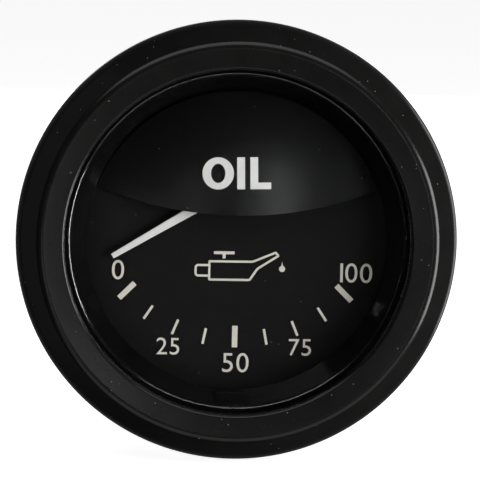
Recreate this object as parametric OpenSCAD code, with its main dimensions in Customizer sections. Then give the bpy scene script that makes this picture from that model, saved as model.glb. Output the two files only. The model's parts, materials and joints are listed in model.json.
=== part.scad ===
// Panel-mounted oil pressure gauge with a spring-tube movement.
// Z is up, the dial faces -Y, and Y = 0 is the face of the panel that the bezel sits on.

/* [Bezel] */
// How far the bezel's rim stands out beyond the case's neck
bezel_overhang = 4.5; // [4.2:0.1:5]
// Distance from the rim in to the ridge that stands furthest forward
ridge_inset = 3.3; // [2.9:0.1:3.6]
// Height of the ridge in front of the panel
ridge_rise = 5.0; // [4.7:0.1:5.4]
// Fall of the bezel's inner face from the ridge to the lip
lip_drop = 0.5; // [0.3:0.1:0.7]
// Distance from the rim in to the opening inside the lip
lip_inset = 6.7; // [6.2:0.1:7]
// Thickness of the bezel's sheet
bezel_t = 0.7; // [0.6:0.05:0.8]
// Rounding of the rim
rim_round = 0.8; // [0.7:0.05:0.9]
// Rounding of the ridge
ridge_round = 0.7; // [0.5:0.05:0.8]
// Rounding of the lip's front edge
lip_round = 0.5; // [0.3:0.05:0.6]

/* [Case] */
// Radius of the case's neck, which passes the panel's hole
case_r = 25.9; // [25.7:0.05:26]
// Length of the neck behind the panel's face
neck_len = 6.0; // [5.5:0.1:7]
// Radius lost from the neck to the body
case_step = 1.0; // [0.9:0.05:1.1]
// Depth of the case behind the panel's face
case_depth = 28; // [27:0.5:32]
// Thickness of the case's sheet
case_t = 0.7; // [0.6:0.05:0.8]
// Outside rounding of the case's rear edge
case_round = 1.6; // [1.2:0.1:2]
// Width of the case's flange beyond the neck
flange_w = 1.4; // [1.2:0.1:1.6]
// How far the neck is drawn in under the bezel's turned edge
crimp_draw = 0.3; // [0.28:0.01:0.35]

/* [Glass and rings] */
// Thickness of the glass
glass_t = 1.3; // [1:0.1:1.5]
// Thickness of the gasket under the glass
gasket_t = 0.4; // [0.3:0.05:0.5]
// Height of the spacer ring from dial to glass
spacer_h = 2.5; // [2.4:0.1:2.8]
// Width of the spacer ring at the glass
mouth_w = 2.3; // [1.9:0.1:2.7]
// Width of the spacer ring at the dial
spacer_w = 4.4; // [4.1:0.1:4.6]
// Width of the ring that carries the dial
seat_ring_w = 1.9; // [1.3:0.1:2.3]
// Height of the light windows above the dial
window_rise = 1.5; // [1.2:0.1:1.8]
// Width of the two light windows at the sides
side_window_w = 2.0; // [1.5:0.1:2.5]
// Width of the light window at the bottom
bottom_window_w = 4.5; // [4:0.1:5]
// Depth of the light windows into the spacer ring
window_depth = 1.4; // [1.2:0.1:1.6]

/* [Dial] */
// Thickness of the dial
dial_t = 0.6; // [0.5:0.05:0.8]
// Height of the pointer's axis above the dial's centre
pivot_rise = 7.8; // [7.6:0.1:8]
// How much the marks' outer radius, about the pointer's axis, exceeds the visible dial's
mark_reach = 2.0; // [1.4:0.1:2.3]
// Length of a wide mark
wide_mark_len = 3.0; // [2.5:0.1:3.5]
// Length of a narrow mark
narrow_mark_len = 2.2; // [1.8:0.1:2.6]
// Width of a wide mark
wide_mark_w = 0.75; // [0.6:0.05:0.9]
// Width of a narrow mark
narrow_mark_w = 0.34; // [0.25:0.01:0.45]
// Thickness of the printed marks
mark_t = 0.04; // [0.03:0.01:0.06]
// Angle from the first mark to the last
scale_sweep = 90; // [80:1:92]
// Number of steps between the first and the last mark
scale_steps = 8; // [4:4:16]

/* [Hood] */
// Height of the hood's lower edge above the dial's centre
hood_edge_z = 3.6; // [3:0.1:3.8]
// Radius of the curve of the hood's lower edge
hood_edge_r = 54; // [50:1:60]
// Fall of the hood's dome from its lower edge to its upper rim
hood_drop = 1.58; // [1.3:0.02:1.68]
// Thickness of the hood
hood_t = 0.6; // [0.5:0.05:0.65]
// Gap between the hood and the glass
hood_gap = 0.3; // [0.25:0.05:0.35]
// Radius of the hood's locating pegs
peg_r = 0.8; // [0.6:0.05:0.9]
// Distance of the pegs from the edge of the hood
peg_inset = 1.45; // [1.4:0.05:1.7]
// Angle of each peg above the dial's middle line
peg_angle = 40.8; // [36:0.2:46]

/* [Pointer] */
// How far the pointer ends short of the marks' outer ends
pointer_short = 2.8; // [2.5:0.1:3.6]
// Width of the pointer at its tip
tip_w = 0.72; // [0.6:0.02:0.9]
// Width of the pointer at its axis
root_w = 1.5; // [1.3:0.05:1.7]
// Thickness of the pointer
pointer_t = 0.3; // [0.2:0.05:0.35]
// Length of the pointer's tail behind its axis
tail_len = 4.5; // [4.2:0.1:4.6]
// Width of the pointer's tail
tail_w = 1.6; // [1.4:0.1:1.8]
// Angle by which the pointer parks short of the first mark
park_angle = 14.2; // [12:0.1:15]
// Radius of the pointer's boss
boss_r = 2.0; // [1.9:0.1:2.2]
// Radius of the boss's neck, which the blade is riveted to
boss_neck_r = 1.1; // [1:0.05:1.2]
// Radius of the stop pin
stop_r = 0.4; // [0.3:0.05:0.45]

/* [Movement] */
// Thickness of each movement plate
plate_t = 1.0; // [0.8:0.05:1.1]
// Distance from the panel's face to the front plate
front_plate_y = 5.0; // [4.8:0.1:5.2]
// Clear distance between the two plates
plate_gap = 5.0; // [4.9:0.1:5.3]
// Half the width of the plates
plate_half_w = 8.4; // [8.2:0.1:9]
// Module of the teeth
tooth_module = 0.4; // [0.38:0.01:0.41]
// Number of teeth on the pinion
pinion_teeth = 12; // [11:1:12]
// Width of the pinion's teeth
pinion_w = 2.6; // [2.2:0.1:2.8]
// Thickness of the sector
sector_t = 1.4; // [1.2:0.1:1.5]
// Number of teeth on the sector
sector_teeth = 9; // [8:1:9]
// Radius of the pinion's arbor
arbor_r = 0.6; // [0.5:0.05:0.65]
// Radius of the sector's arbor
sector_arbor_r = 0.6; // [0.5:0.05:0.7]
// Radius of the movement's pillars
pillar_r = 1.2; // [1.1:0.05:1.3]
// Radius of the screws of the movement and the dial
screw_r = 0.6; // [0.5:0.05:0.65]
// Radius of the screws' heads
screw_head_r = 1.5; // [1.4:0.05:1.55]
// Height of the screws' heads
screw_head_h = 0.6; // [0.5:0.05:0.65]
// Radius of the posts that carry the dial
dial_post_r = 1.5; // [1.3:0.1:1.6]
// Distance of each dial post from the pointer's axis
dial_post_x = 6.5; // [6.4:0.05:6.7]
// Radius of the posts that carry the movement
movement_post_r = 1.6; // [1.4:0.1:1.7]
// Distance of each movement post from the centre line
movement_post_x = 5.0; // [4.8:0.1:5.2]
// Radius of the pins of the link
link_pin_r = 0.5; // [0.45:0.05:0.55]
// Thickness of the link
link_t = 0.8; // [0.6:0.05:0.85]
// Width of the link
link_w = 1.4; // [1.2:0.1:1.6]
// Radius of the eyes at the link's ends
link_eye_r = 1.2; // [1.1:0.05:1.3]

/* [Hairspring] */
// Radius of the hairspring's collet
collet_r = 1.3; // [1.2:0.05:1.4]
// Number of turns of the hairspring
spring_turns = 3.5; // [2.5:0.5:4]
// Outer radius of the hairspring
spring_r = 4.3; // [4:0.1:4.4]
// Thickness of the hairspring's strip
spring_t = 0.12; // [0.1:0.01:0.15]
// Width of the hairspring's strip
spring_w = 0.6; // [0.5:0.05:0.7]

/* [Spring tube] */
// Distance from the inside of the case to the middle of the tube
tube_inset = 4.7; // [4.6:0.05:4.8]
// Width of the tube's section
tube_w = 6.0; // [5.6:0.1:6]
// Thickness of the tube's section
tube_h = 2.0; // [1.8:0.1:2]
// Wall of the tube
tube_wall = 0.3; // [0.25:0.01:0.35]
// Angle that the tube turns through, out of the socket block
tube_sweep = 270; // [264:1:272]

/* [Inlet] */
// Radius of the inlet's thread
inlet_r = 4.864; // [4.8:0.001:5]
// Length of the inlet's thread
inlet_len = 9.8; // [9:0.1:12]
// Radius of the fixing thread at the foot of the inlet
fixing_r = 5.2; // [5.1:0.05:5.3]
// Radius of the oil passage
passage_r = 1.5; // [1.2:0.05:1.7]
// Width across flats of the inlet's nut
nut_flats = 14.5; // [14:0.1:14.8]
// Thickness of the inlet's nut
nut_t = 3.5; // [3:0.1:3.6]
// Thickness of the inlet's washer
washer_t = 0.8; // [0.6:0.1:1]
// Radius of the inlet's washer
washer_r = 8.0; // [7.6:0.1:8.2]

/* [Clamp] */
// Radius of the clamp studs
stud_r = 2.0; // [1.9:0.05:2.1]
// Distance from the inside of the case to the middle of each stud
stud_inset = 7.2; // [7:0.1:7.7]
// Length of the studs behind the case
stud_len = 18.5; // [18:0.1:20]
// Thickness of the panel that the clamp is set for
panel_t = 2.5; // [2.2:0.1:4]
// Thickness of the bracket's sheet
bracket_t = 1.5; // [1.2:0.1:1.6]
// Width of the bracket's legs
leg_w = 12; // [10:0.5:13]
// Gap between the case's neck and the bracket's legs
leg_gap = 1.1; // [1:0.05:1.2]
// Distance from the case's rear face to the bracket's bar
bar_gap = 6; // [5.9:0.1:6.5]
// Width of the bar's middle ring round its hole
bar_ring_w = 2.0; // [1.8:0.1:2.4]
// Gap between the inlet's nut and the hole in the bar
bar_hole_gap = 0.55; // [0.4:0.05:0.8]
// Thickness of a spring washer
spring_washer_t = 0.8; // [0.6:0.1:0.9]
// Radius of a knurled nut
knob_r = 6; // [5.5:0.1:6.5]
// Length of a knurled nut's grip
knob_h = 4.5; // [4:0.1:4.8]
// Number of grooves round a knurled nut
knurls = 36; // [24:4:48]
// Depth of the knurled nut's grooves
knurl_depth = 0.35; // [0.2:0.05:0.5]

/* [Lamp] */
// Distance from the inside of the case to the middle of the lamp
lamp_inset = 6.8; // [6.7:0.1:7]
// Radius of the bulb holder's body
holder_r = 4.9; // [4.7:0.05:5]
// Radius of the bulb holder's flange
holder_flange_r = 5.4; // [5.35:0.05:5.45]
// Radius of the bulb holder's tail
holder_tail_r = 3.8; // [3.6:0.1:4]
// Length of the bulb holder's tail
holder_tail_len = 8; // [7:0.5:9]
// Radius of the bulb's glass
bulb_r = 2.8; // [2.5:0.1:3]
// Radius of the bulb's cap
bulb_cap_r = 3.5; // [3.3:0.1:3.6]
// Width of the terminal blade
blade_w = 6.3; // [4.8:0.1:6.5]
// Thickness of the terminal blade
blade_t = 0.8; // [0.6:0.1:0.9]
// Length of the terminal blade behind the holder
blade_len = 8; // [7:0.5:9]

/* [Hidden] */

// Clearances: between fixed pieces, round a turning shaft, and in the open eye of the link
fit_gap = 0.02;
ring_gap = 0.1;
run_gap = 0.05;
open_eye_gap = 0.14;
// Overshoot of a cut past the face that it leaves
cut = 0.5;
// Half the width of a screw's slot, and its depth
slot_half_w = 0.15;
slot_depth = 0.3;
// Reach of the small screws into their posts, and the spare depth of the posts' holes
screw_reach = 2.5;
hole_spare = 0.3;
$fn = 96;

// Thicknesses and lifts that set places along Y
block_flange_t = 5;
pointer_lift = 0.7;
stop_reach_y = 0.15;

// Places along Y, from the glass back to the socket block
flange_rear_y = -bezel_t;
flange_front_y = flange_rear_y - case_t;
glass_rear_y = flange_front_y - gasket_t;
glass_front_y = glass_rear_y - glass_t;
dial_y = glass_rear_y + spacer_h;
dial_rear_y = dial_y + dial_t;
ledge_y = neck_len - case_t;
hood_front_y = glass_rear_y + hood_gap;
back_plate_y = front_plate_y + plate_t + plate_gap;
movement_rear_y = back_plate_y + plate_t;
wall_y = case_depth - case_t;
block_y = wall_y - block_flange_t;
pointer_y = dial_y - pointer_lift;
stop_front_y = pointer_y - pointer_t / 2 - stop_reach_y;

// Radii of the case and of what fits inside it
body_r = case_r - case_step;
bore_r = case_r - case_t;
body_bore_r = body_r - case_t;
ring_r = bore_r - ring_gap;
flange_r = case_r + flange_w;
bezel_r = case_r + bezel_overhang;
ridge_r = bezel_r - ridge_inset;
lip_r = bezel_r - lip_inset;
mouth_r = ring_r - mouth_w;
window_r = ring_r - spacer_w;
seat_ring_r = ring_r - seat_ring_w;
tube_r = body_bore_r - tube_inset;
stud_x = body_bore_r - stud_inset;
lamp_z = body_bore_r - lamp_inset;
glass_inset = 0.7;
gasket_inset = 0.2;

// Marks, pointer and the hood's pegs, in the plane of the dial
mark_r = window_r + mark_reach;
pointer_len = mark_r - pointer_short;
hood_r = window_r - ring_gap;
hood_span = hood_r - hood_edge_z;
hood_ball_r = (pow(hood_span, 2) + pow(hood_drop, 2)) / 2 / hood_drop;
peg_x = (hood_r - peg_inset) * cos(peg_angle);
peg_z = (hood_r - peg_inset) * sin(peg_angle);

// Pointer: its angles in the plane of the dial, and its boss and stop
first_mark_angle = 270 - scale_sweep / 2;
rest_angle = first_mark_angle - park_angle;
boss_cap_t = 0.2;
boss_cap_lap = 0.1;
boss_bore_depth = 1;
dial_hole_r = boss_neck_r + 0.4;
boss_rear_gap = 0.15;
stop_gap = 0.1;
stop_reach = 3.8;

// Movement: gear radii, the sector's arbor, and half the sector's swing
gear_ratio = 4;
tail_arm = 5;
pinion_pitch_r = tooth_module * pinion_teeth / 2;
sector_pitch_r = pinion_pitch_r * gear_ratio;
sector_z = pivot_rise - pinion_pitch_r - sector_pitch_r;
sector_half_swing = 13.5;
pressure_angle = 20;
pinion_addendum = tooth_module;
sector_addendum = 0.75 * tooth_module;
tooth_root = 1.25 * tooth_module;
tooth_play = 0.05;
tooth_foot = 0.06;
flank_steps = 5;
sector_hub_r = 2.2;
sector_rim_w = 1.6;
sector_tail_r = link_pin_r + 0.6;
sector_window_lift = 0.5;
sector_side_angle = 34;
spring_y = front_plate_y + plate_t + 0.45;
collet_lap = 0.15;
pinion_y = front_plate_y + plate_t + 1.6;
sector_y = pinion_y + (pinion_w - sector_t) / 2;
link_gap = 0.2;
link_y = sector_y + sector_t + link_gap;
collet_w = spring_w + 2 * collet_lap;
plate_margin = 2.0;
pillar_rise = 3.6;
pillar_inset = 2.9;
plate_top_z = pivot_rise + pillar_rise + plate_margin;
plate_bottom_z = sector_z - tail_arm - plate_margin;
plate_round = 2.2;
movement_post_z = sector_z + 0.7;
pillar_x = plate_half_w - pillar_inset;
pillar_places = [[-pillar_x, pivot_rise + pillar_rise],
                 [pillar_x, pivot_rise + pillar_rise],
                 [pillar_x, plate_bottom_z + plate_margin]];
dial_post_places = [[-dial_post_x, pivot_rise], [dial_post_x, pivot_rise]];
movement_post_places = [[-movement_post_x, movement_post_z], [movement_post_x, movement_post_z]];

// Linkage at rest: the sector's pin, the tube's end and the pin in its cap
sector_pin_x = tail_arm * sin(sector_half_swing);
sector_pin_z = sector_z - tail_arm * cos(sector_half_swing);
tube_start_angle = 285;
tube_end_angle = tube_start_angle + tube_sweep;
tip_pin_past = 2.2;
tip_pin_x = tube_r * cos(tube_end_angle) - tip_pin_past * sin(tube_end_angle);
tip_pin_z = tube_r * sin(tube_end_angle) + tip_pin_past * cos(tube_end_angle);
cap_len = 4.2;
cap_lap = 0.8;
cap_wall = 0.6;
cap_slot_t = link_t + 2 * link_gap;
tube_y = front_plate_y + plate_t + tube_w / 2;

// Socket block
block_half_w = 7;
block_top_z = 7;
block_foot = 2.5;
pillar_foot = 3.4;
pillar_shoulder = 3.3;
block_bottom_z = -tube_r - block_foot;
pillar_half_w = 4.2;
pillar_outer_z = -tube_r - pillar_foot;
pillar_inner_z = -tube_r + pillar_shoulder;
tube_seat_len = 3.5;
fixing_len = 4.6;
inlet_chamfer = 0.7;
inlet_start_y = case_depth + fixing_len;
inlet_end_y = inlet_start_y + inlet_len;
passage_y = wall_y - block_flange_t / 2;

// Clamp: the bracket's faces, and the stud's head inside the case
leg_x = case_r + leg_gap;
bar_y = case_depth + bar_gap;
bar_rear_y = bar_y + bracket_t;
nut_corner_r = nut_flats / 2 / cos(30);
bar_hole_r = nut_corner_r + bar_hole_gap;
bar_ring_r = bar_hole_r + bar_ring_w;
bend_r = 2.4;
stud_head_r = 3.6;
stud_head_t = 1.2;
stud_chamfer = 0.5;
stud_hole_gap = 0.3;
knob_y = bar_rear_y + spring_washer_t;
knob_collar_t = 0.8;
knob_collar_r = 4.2;
spring_washer_r = 3.9;
spring_washer_cut = 0.7;

// Lamp: how far its pieces reach into the case
holder_reach = 5.3;
holder_flange_t = 1.2;
holder_bore_depth = 5;
bulb_cap_reach = 2.6;
bulb_cap_y = case_depth - holder_reach - bulb_cap_reach;
bulb_glass_len = 4;
blade_sink = 3;
lamp_hole_gap = 0.1;

// Light windows: [angle, width] of each, and the depth of the block from front to dial
light_windows_at = [[204, side_window_w], [335, side_window_w], [269, bottom_window_w]];
window_lap = 0.2;
window_inner_r = window_r + window_lap;
window_outer_r = window_inner_r + window_depth;
window_front_y = dial_y - window_rise;

// Points of an arc in a section, both ends included
function arc(c, r, a0, a1, n) =
    [for (i = [0 : n]) let (a = a0 + (a1 - a0) * i / n) [c.x + r * cos(a), c.y + r * sin(a)]];

// Direction of the outward normal of the line that touches two corner roundings
function touch_angle(c1, r1, c2, r2) =
    atan2(c2.y - c1.y, c2.x - c1.x) + acos((r1 - r2) / norm(c2 - c1));

// Involute function in degrees
function involute(a) = tan(a) * 180 / PI - a;

// Half the angle that a tooth fills at radius r
function tooth_half(r, pitch, teeth) =
    90 / teeth - tooth_play / 2 / pitch * 180 / PI
    + involute(pressure_angle) - involute(acos(min(1, pitch * cos(pressure_angle) / r)));

// One side of a tooth from root to tip, as [radius, half angle]
function tooth_side(pitch, teeth, addendum) =
    let (base = pitch * cos(pressure_angle))
    let (low = max(base, pitch - tooth_root + tooth_foot))
    concat([[pitch - tooth_root - tooth_foot, tooth_half(low, pitch, teeth)]],
           [for (i = [0 : flank_steps]) let (r = low + (pitch + addendum - low) * i / flank_steps)
               [r, tooth_half(r, pitch, teeth)]]);

// A round piece about the Y axis, from a section given as [radius, y]
module lathe(section) {
    rotate([-90, 0, 0])
    rotate_extrude()
    polygon(section);
}

// A flat shape in X and Z, from y0 back to y0 + t
module slab(y0, t) {
    translate([0, y0 + t, 0])
    rotate([90, 0, 0])
    linear_extrude(t)
    children();
}

// A rod along Y at [x, z], from y0 back to y1
module rod(place, r, y0, y1) {
    translate([place.x, y0, place.y])
    rotate([-90, 0, 0])
    cylinder(r = r, h = y1 - y0);
}

// A screw whose head's seat is at y, with its head in front and its shank behind
module screw(place, y, shank_len) {
    difference() {
        union() {
            rod(place, screw_head_r, y - screw_head_h, y);
            rod(place, screw_r, y, y + shank_len);
        }
        translate([place.x - screw_head_r - cut, y - screw_head_h - cut, place.y - slot_half_w])
        cube([2 * (screw_head_r + cut), cut + slot_depth, 2 * slot_half_w]);
    }
}

module bezel() {
    rim_c = [bezel_r - rim_round, -rim_round];
    ridge_c = [ridge_r, -(ridge_rise - ridge_round)];
    lip_c = [lip_r + lip_round, -(ridge_rise - lip_drop - lip_round)];
    band_angle = touch_angle(rim_c, rim_round, ridge_c, ridge_round);
    face_angle = touch_angle(ridge_c, ridge_round, lip_c, lip_round) - 360;
    color([0.11, 0.11, 0.11])
    lathe(concat(
        [[case_r + ring_gap, 0]],
        arc(rim_c, rim_round, 90, band_angle, 8),
        arc(ridge_c, ridge_round, band_angle, face_angle, 8),
        arc(lip_c, lip_round, face_angle, -180, 6),
        [[lip_r, glass_front_y],
         [lip_r + bezel_t, glass_front_y],
         [lip_r + bezel_t, lip_c.y],
         [ridge_r, -(ridge_rise - bezel_t)],
         [bezel_r - rim_round, flange_rear_y],
         [case_r + ring_gap, flange_rear_y]]));
}

module case() {
    inner_round = case_round - case_t;
    color([0.35, 0.35, 0.34])
    difference() {
        lathe(concat(
            [[bore_r, flange_front_y],
             [flange_r, flange_front_y],
             [flange_r, flange_rear_y],
             [case_r - crimp_draw, flange_rear_y],
             [case_r - crimp_draw, 0],
             [case_r, 0],
             [case_r, neck_len],
             [body_r, neck_len]],
            arc([body_r - case_round, case_depth - case_round], case_round, 0, 90, 8),
            [[0, case_depth], [0, wall_y]],
            arc([body_r - case_round, case_depth - case_round], inner_round, 90, 0, 8),
            [[body_bore_r, ledge_y], [bore_r, ledge_y]]));
        rod([0, 0], fixing_r + ring_gap, wall_y - cut, case_depth + cut);
        for (side = [-1, 1])
            rod([side * stud_x, 0], stud_r + run_gap, wall_y - cut, case_depth + cut);
        rod([0, lamp_z], holder_r + lamp_hole_gap, wall_y - cut, case_depth + cut);
    }
}

module glass() {
    color([0.8, 0.85, 0.85, 0.3])
    rod([0, 0], flange_r - glass_inset, glass_front_y, glass_rear_y);
}

module glass_gasket() {
    color([0.05, 0.05, 0.05])
    lathe([[bore_r + ring_gap, glass_rear_y],
           [flange_r - gasket_inset, glass_rear_y],
           [flange_r - gasket_inset, flange_front_y],
           [bore_r + ring_gap, flange_front_y]]);
}

// Blocks of the light windows, grown sideways by a gap for the slots they sit in
module window_blocks(gap, y0, y1) {
    for (place = light_windows_at)
        rotate([0, -place[0], 0])
        translate([window_inner_r - gap, y0, -place[1] / 2 - gap])
        cube([window_outer_r - window_inner_r + 2 * gap, y1 - y0, place[1] + 2 * gap]);
}

module spacer_ring() {
    mouth_round = 0.3;
    mouth_c = [mouth_r + mouth_round, glass_rear_y + mouth_round];
    color([0.07, 0.07, 0.07])
    difference() {
        lathe(concat(
            [[ring_r, glass_rear_y]],
            arc(mouth_c, mouth_round, -90, -180, 6),
            [[window_r, dial_y], [ring_r, dial_y]]));
        window_blocks(fit_gap, glass_rear_y - cut, dial_y + cut);
    }
}

module light_windows() {
    color([0.35, 0.33, 0.32])
    window_blocks(0, window_front_y, dial_rear_y);
}

module dial() {
    color([0.08, 0.08, 0.08])
    difference() {
        rod([0, 0], ring_r, dial_y, dial_rear_y);
        rod([0, pivot_rise], dial_hole_r, dial_y - cut, dial_rear_y + cut);
        for (place = dial_post_places)
            rod(place, screw_r + run_gap, dial_y - cut, dial_rear_y + cut);
        for (side = [-1, 1])
            rod([side * peg_x, peg_z], peg_r + run_gap, dial_y - cut, dial_rear_y + cut);
        rod(stop_place, stop_r + fit_gap, dial_y - cut, dial_rear_y + cut);
        window_blocks(fit_gap, dial_y - cut, dial_rear_y + cut);
    }
}

module scale_marks() {
    color([0.85, 0.83, 0.78])
    for (i = [0 : scale_steps]) {
        wide = i % (scale_steps / 2) == 0;
        mark_len = wide ? wide_mark_len : narrow_mark_len;
        mark_w = wide ? wide_mark_w : narrow_mark_w;
        slab(dial_y - mark_t, mark_t)
        translate([0, pivot_rise])
        rotate(first_mark_angle + scale_sweep * i / scale_steps)
        translate([mark_r - mark_len, -mark_w / 2])
        square([mark_len, mark_w]);
    }
}

// Outline of the hood: inside radius r, above the curved lower edge
module hood_outline(r) {
    intersection() {
        circle(r);
        translate([0, hood_edge_z + hood_edge_r])
        circle(hood_edge_r);
    }
}

module dial_hood() {
    color([0.1, 0.1, 0.1])
    union() {
        difference() {
            intersection() {
                slab(hood_front_y - cut, dial_y - hood_front_y + cut)
                hood_outline(hood_r);
                translate([0, hood_front_y + hood_ball_r, hood_edge_z])
                sphere(hood_ball_r, $fn = 256);
            }
            intersection() {
                rod([0, 0], hood_r - hood_t, hood_front_y, dial_y + cut);
                translate([0, hood_front_y + hood_ball_r, hood_edge_z])
                sphere(hood_ball_r - hood_t, $fn = 256);
            }
        }
        for (side = [-1, 1])
            rod([side * peg_x, peg_z], peg_r, peg_top_y, dial_rear_y);
    }
}
// The pegs start inside the hood's wall, at the depth of its dome where they stand
peg_reach = norm([peg_x, peg_z - hood_edge_z]);
peg_top_y = hood_front_y + hood_ball_r - sqrt(pow(hood_ball_r, 2) - pow(peg_reach, 2)) + hood_t / 2;

module dial_screws() {
    color([0.7, 0.7, 0.68])
    for (place = dial_post_places)
        screw(place, dial_y, dial_t + screw_reach);
}

module dial_posts() {
    color([0.78, 0.63, 0.32])
    for (place = dial_post_places)
        difference() {
            rod(place, dial_post_r, dial_rear_y, front_plate_y);
            rod(place, screw_r + fit_gap, dial_rear_y - cut,
                dial_rear_y + screw_reach + hole_spare);
        }
}

// The stop pin stands beside the pointer's tail, on the side that it comes back to
stop_offset = tail_w / 2 + stop_r + stop_gap;
tail_angle = rest_angle - 180;
stop_place = [stop_reach * cos(tail_angle) + stop_offset * sin(tail_angle),
              pivot_rise + stop_reach * sin(tail_angle) - stop_offset * cos(tail_angle)];
module stop_pin() {
    color([0.7, 0.7, 0.68])
    rod(stop_place, stop_r, stop_front_y, dial_rear_y);
}

module dial_seat_ring() {
    color([0.9, 0.9, 0.86])
    lathe([[seat_ring_r, dial_rear_y], [ring_r, dial_rear_y], [ring_r, ledge_y], [seat_ring_r, ledge_y]]);
}

module pointer_blade() {
    color([0.93, 0.92, 0.9])
    difference() {
        slab(pointer_y - pointer_t / 2, pointer_t)
        translate([0, pivot_rise])
        rotate(rest_angle) {
            polygon([[0, -root_w / 2],
                     [pointer_len, -tip_w / 2],
                     [pointer_len, tip_w / 2],
                     [0, root_w / 2]]);
            translate([-tail_len + tail_w / 2, -tail_w / 2])
            square([tail_len - tail_w / 2, tail_w]);
            translate([-tail_len + tail_w / 2, 0])
            circle(tail_w / 2);
            circle(boss_r - boss_cap_lap);
        }
        rod([0, pivot_rise], boss_neck_r + fit_gap, pointer_y - pointer_t, pointer_y + pointer_t);
    }
}

module pointer_boss() {
    cap_y = pointer_y - pointer_t / 2 - boss_cap_t;
    color([0.12, 0.12, 0.12])
    difference() {
        union() {
            rod([0, pivot_rise], boss_r, cap_y, pointer_y - pointer_t / 2);
            rod([0, pivot_rise], boss_neck_r, pointer_y - pointer_t / 2, dial_y + boss_rear_gap);
        }
        rod([0, pivot_rise], arbor_r + fit_gap, cap_y - cut, dial_y + boss_bore_depth);
    }
}

// Outline of a toothed wheel or of part of one, with a tooth on the X axis
module toothed_outline(pitch, teeth, addendum, count) {
    side = tooth_side(pitch, teeth, addendum);
    last = len(side) - 1;
    for (i = [0 : count - 1])
        rotate((i - floor(count / 2)) * 360 / teeth)
        polygon(concat(
            [for (p = side) p[0] * [cos(p[1]), -sin(p[1])]],
            [for (j = [last : -1 : 0]) side[j][0] * [cos(side[j][1]), sin(side[j][1])]]));
}

module pinion() {
    color([0.8, 0.68, 0.38])
    union() {
        slab(pinion_y, pinion_w)
        translate([0, pivot_rise])
        rotate(270 + 180 / pinion_teeth - sector_half_swing * gear_ratio) {
            toothed_outline(pinion_pitch_r, pinion_teeth, pinion_addendum, pinion_teeth);
            circle(pinion_pitch_r - tooth_root);
        }
        rod([0, pivot_rise], arbor_r, pointer_y - pointer_t / 2 - boss_cap_t, movement_rear_y);
    }
}

module hairspring_collet() {
    color([0.8, 0.68, 0.38])
    difference() {
        rod([0, pivot_rise], collet_r, spring_y - collet_lap, spring_y - collet_lap + collet_w);
        rod([0, pivot_rise], arbor_r + fit_gap, spring_y - cut, spring_y + collet_w + cut);
    }
}

// One edge of the hairspring: its strip's middle line, moved sideways by d
function spring_edge(d) =
    let (inner = collet_r + run_gap + spring_t / 2)
    let (steps = spring_turns * 36)
    [for (i = [0 : steps]) let (r = inner + (spring_r - inner) * i / steps + d)
        r * [cos(i * 10), sin(i * 10)]];

module hairspring() {
    outer = spring_edge(spring_t / 2);
    inner = spring_edge(-spring_t / 2);
    last = len(inner) - 1;
    color([0.6, 0.62, 0.68])
    slab(spring_y, spring_w)
    translate([0, pivot_rise])
    polygon(concat(outer, [for (i = [last : -1 : 0]) inner[i]]));
}

module hairspring_stud() {
    stud_pin_r = 0.5;
    reach = spring_r + spring_t / 2 + run_gap + stud_pin_r;
    last_angle = spring_turns * 360;
    color([0.8, 0.68, 0.38])
    rod([reach * cos(last_angle), pivot_rise + reach * sin(last_angle)], stud_pin_r,
        front_plate_y + plate_t, spring_y + spring_w);
}

module plate_outline() {
    for (x = [-1, 1], z = [plate_bottom_z + plate_round, plate_top_z - plate_round])
        translate([x * (plate_half_w - plate_round), z])
        circle(plate_round);
    translate([-plate_half_w, plate_bottom_z + plate_round])
    square([2 * plate_half_w, plate_top_z - plate_bottom_z - 2 * plate_round]);
    translate([-plate_half_w + plate_round, plate_bottom_z])
    square([2 * (plate_half_w - plate_round), plate_top_z - plate_bottom_z]);
}

module movement_front_plate() {
    color([0.8, 0.66, 0.36])
    difference() {
        slab(front_plate_y, plate_t)
        plate_outline();
        rod([0, pivot_rise], arbor_r + run_gap, front_plate_y - cut, front_plate_y + plate_t + cut);
        rod([0, sector_z], sector_arbor_r + run_gap, front_plate_y - cut, front_plate_y + plate_t + cut);
        for (place = pillar_places)
            rod(place, screw_r + run_gap, front_plate_y - cut, front_plate_y + plate_t + cut);
    }
}

module movement_back_plate() {
    color([0.8, 0.66, 0.36])
    difference() {
        slab(back_plate_y, plate_t)
        plate_outline();
        rod([0, pivot_rise], arbor_r + run_gap, back_plate_y - cut, movement_rear_y + cut);
        rod([0, sector_z], sector_arbor_r + run_gap, back_plate_y - cut, movement_rear_y + cut);
        for (place = movement_post_places)
            rod(place, screw_r + run_gap, back_plate_y - cut, movement_rear_y + cut);
    }
}

module movement_pillars() {
    color([0.78, 0.63, 0.32])
    for (place = pillar_places)
        difference() {
            rod(place, pillar_r, front_plate_y + plate_t, back_plate_y);
            rod(place, screw_r + fit_gap, front_plate_y,
                front_plate_y + plate_t + screw_reach + hole_spare);
        }
}

module plate_screws() {
    color([0.7, 0.7, 0.68])
    for (place = pillar_places)
        screw(place, front_plate_y, plate_t + screw_reach);
}

module movement_posts() {
    color([0.78, 0.63, 0.32])
    for (place = movement_post_places)
        difference() {
            rod(place, movement_post_r, movement_rear_y, block_y);
            rod(place, screw_r + fit_gap, movement_rear_y - cut,
                movement_rear_y + screw_reach + hole_spare);
        }
}

module post_screws() {
    color([0.7, 0.7, 0.68])
    for (place = movement_post_places)
        screw(place, back_plate_y, plate_t + screw_reach);
}

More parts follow.
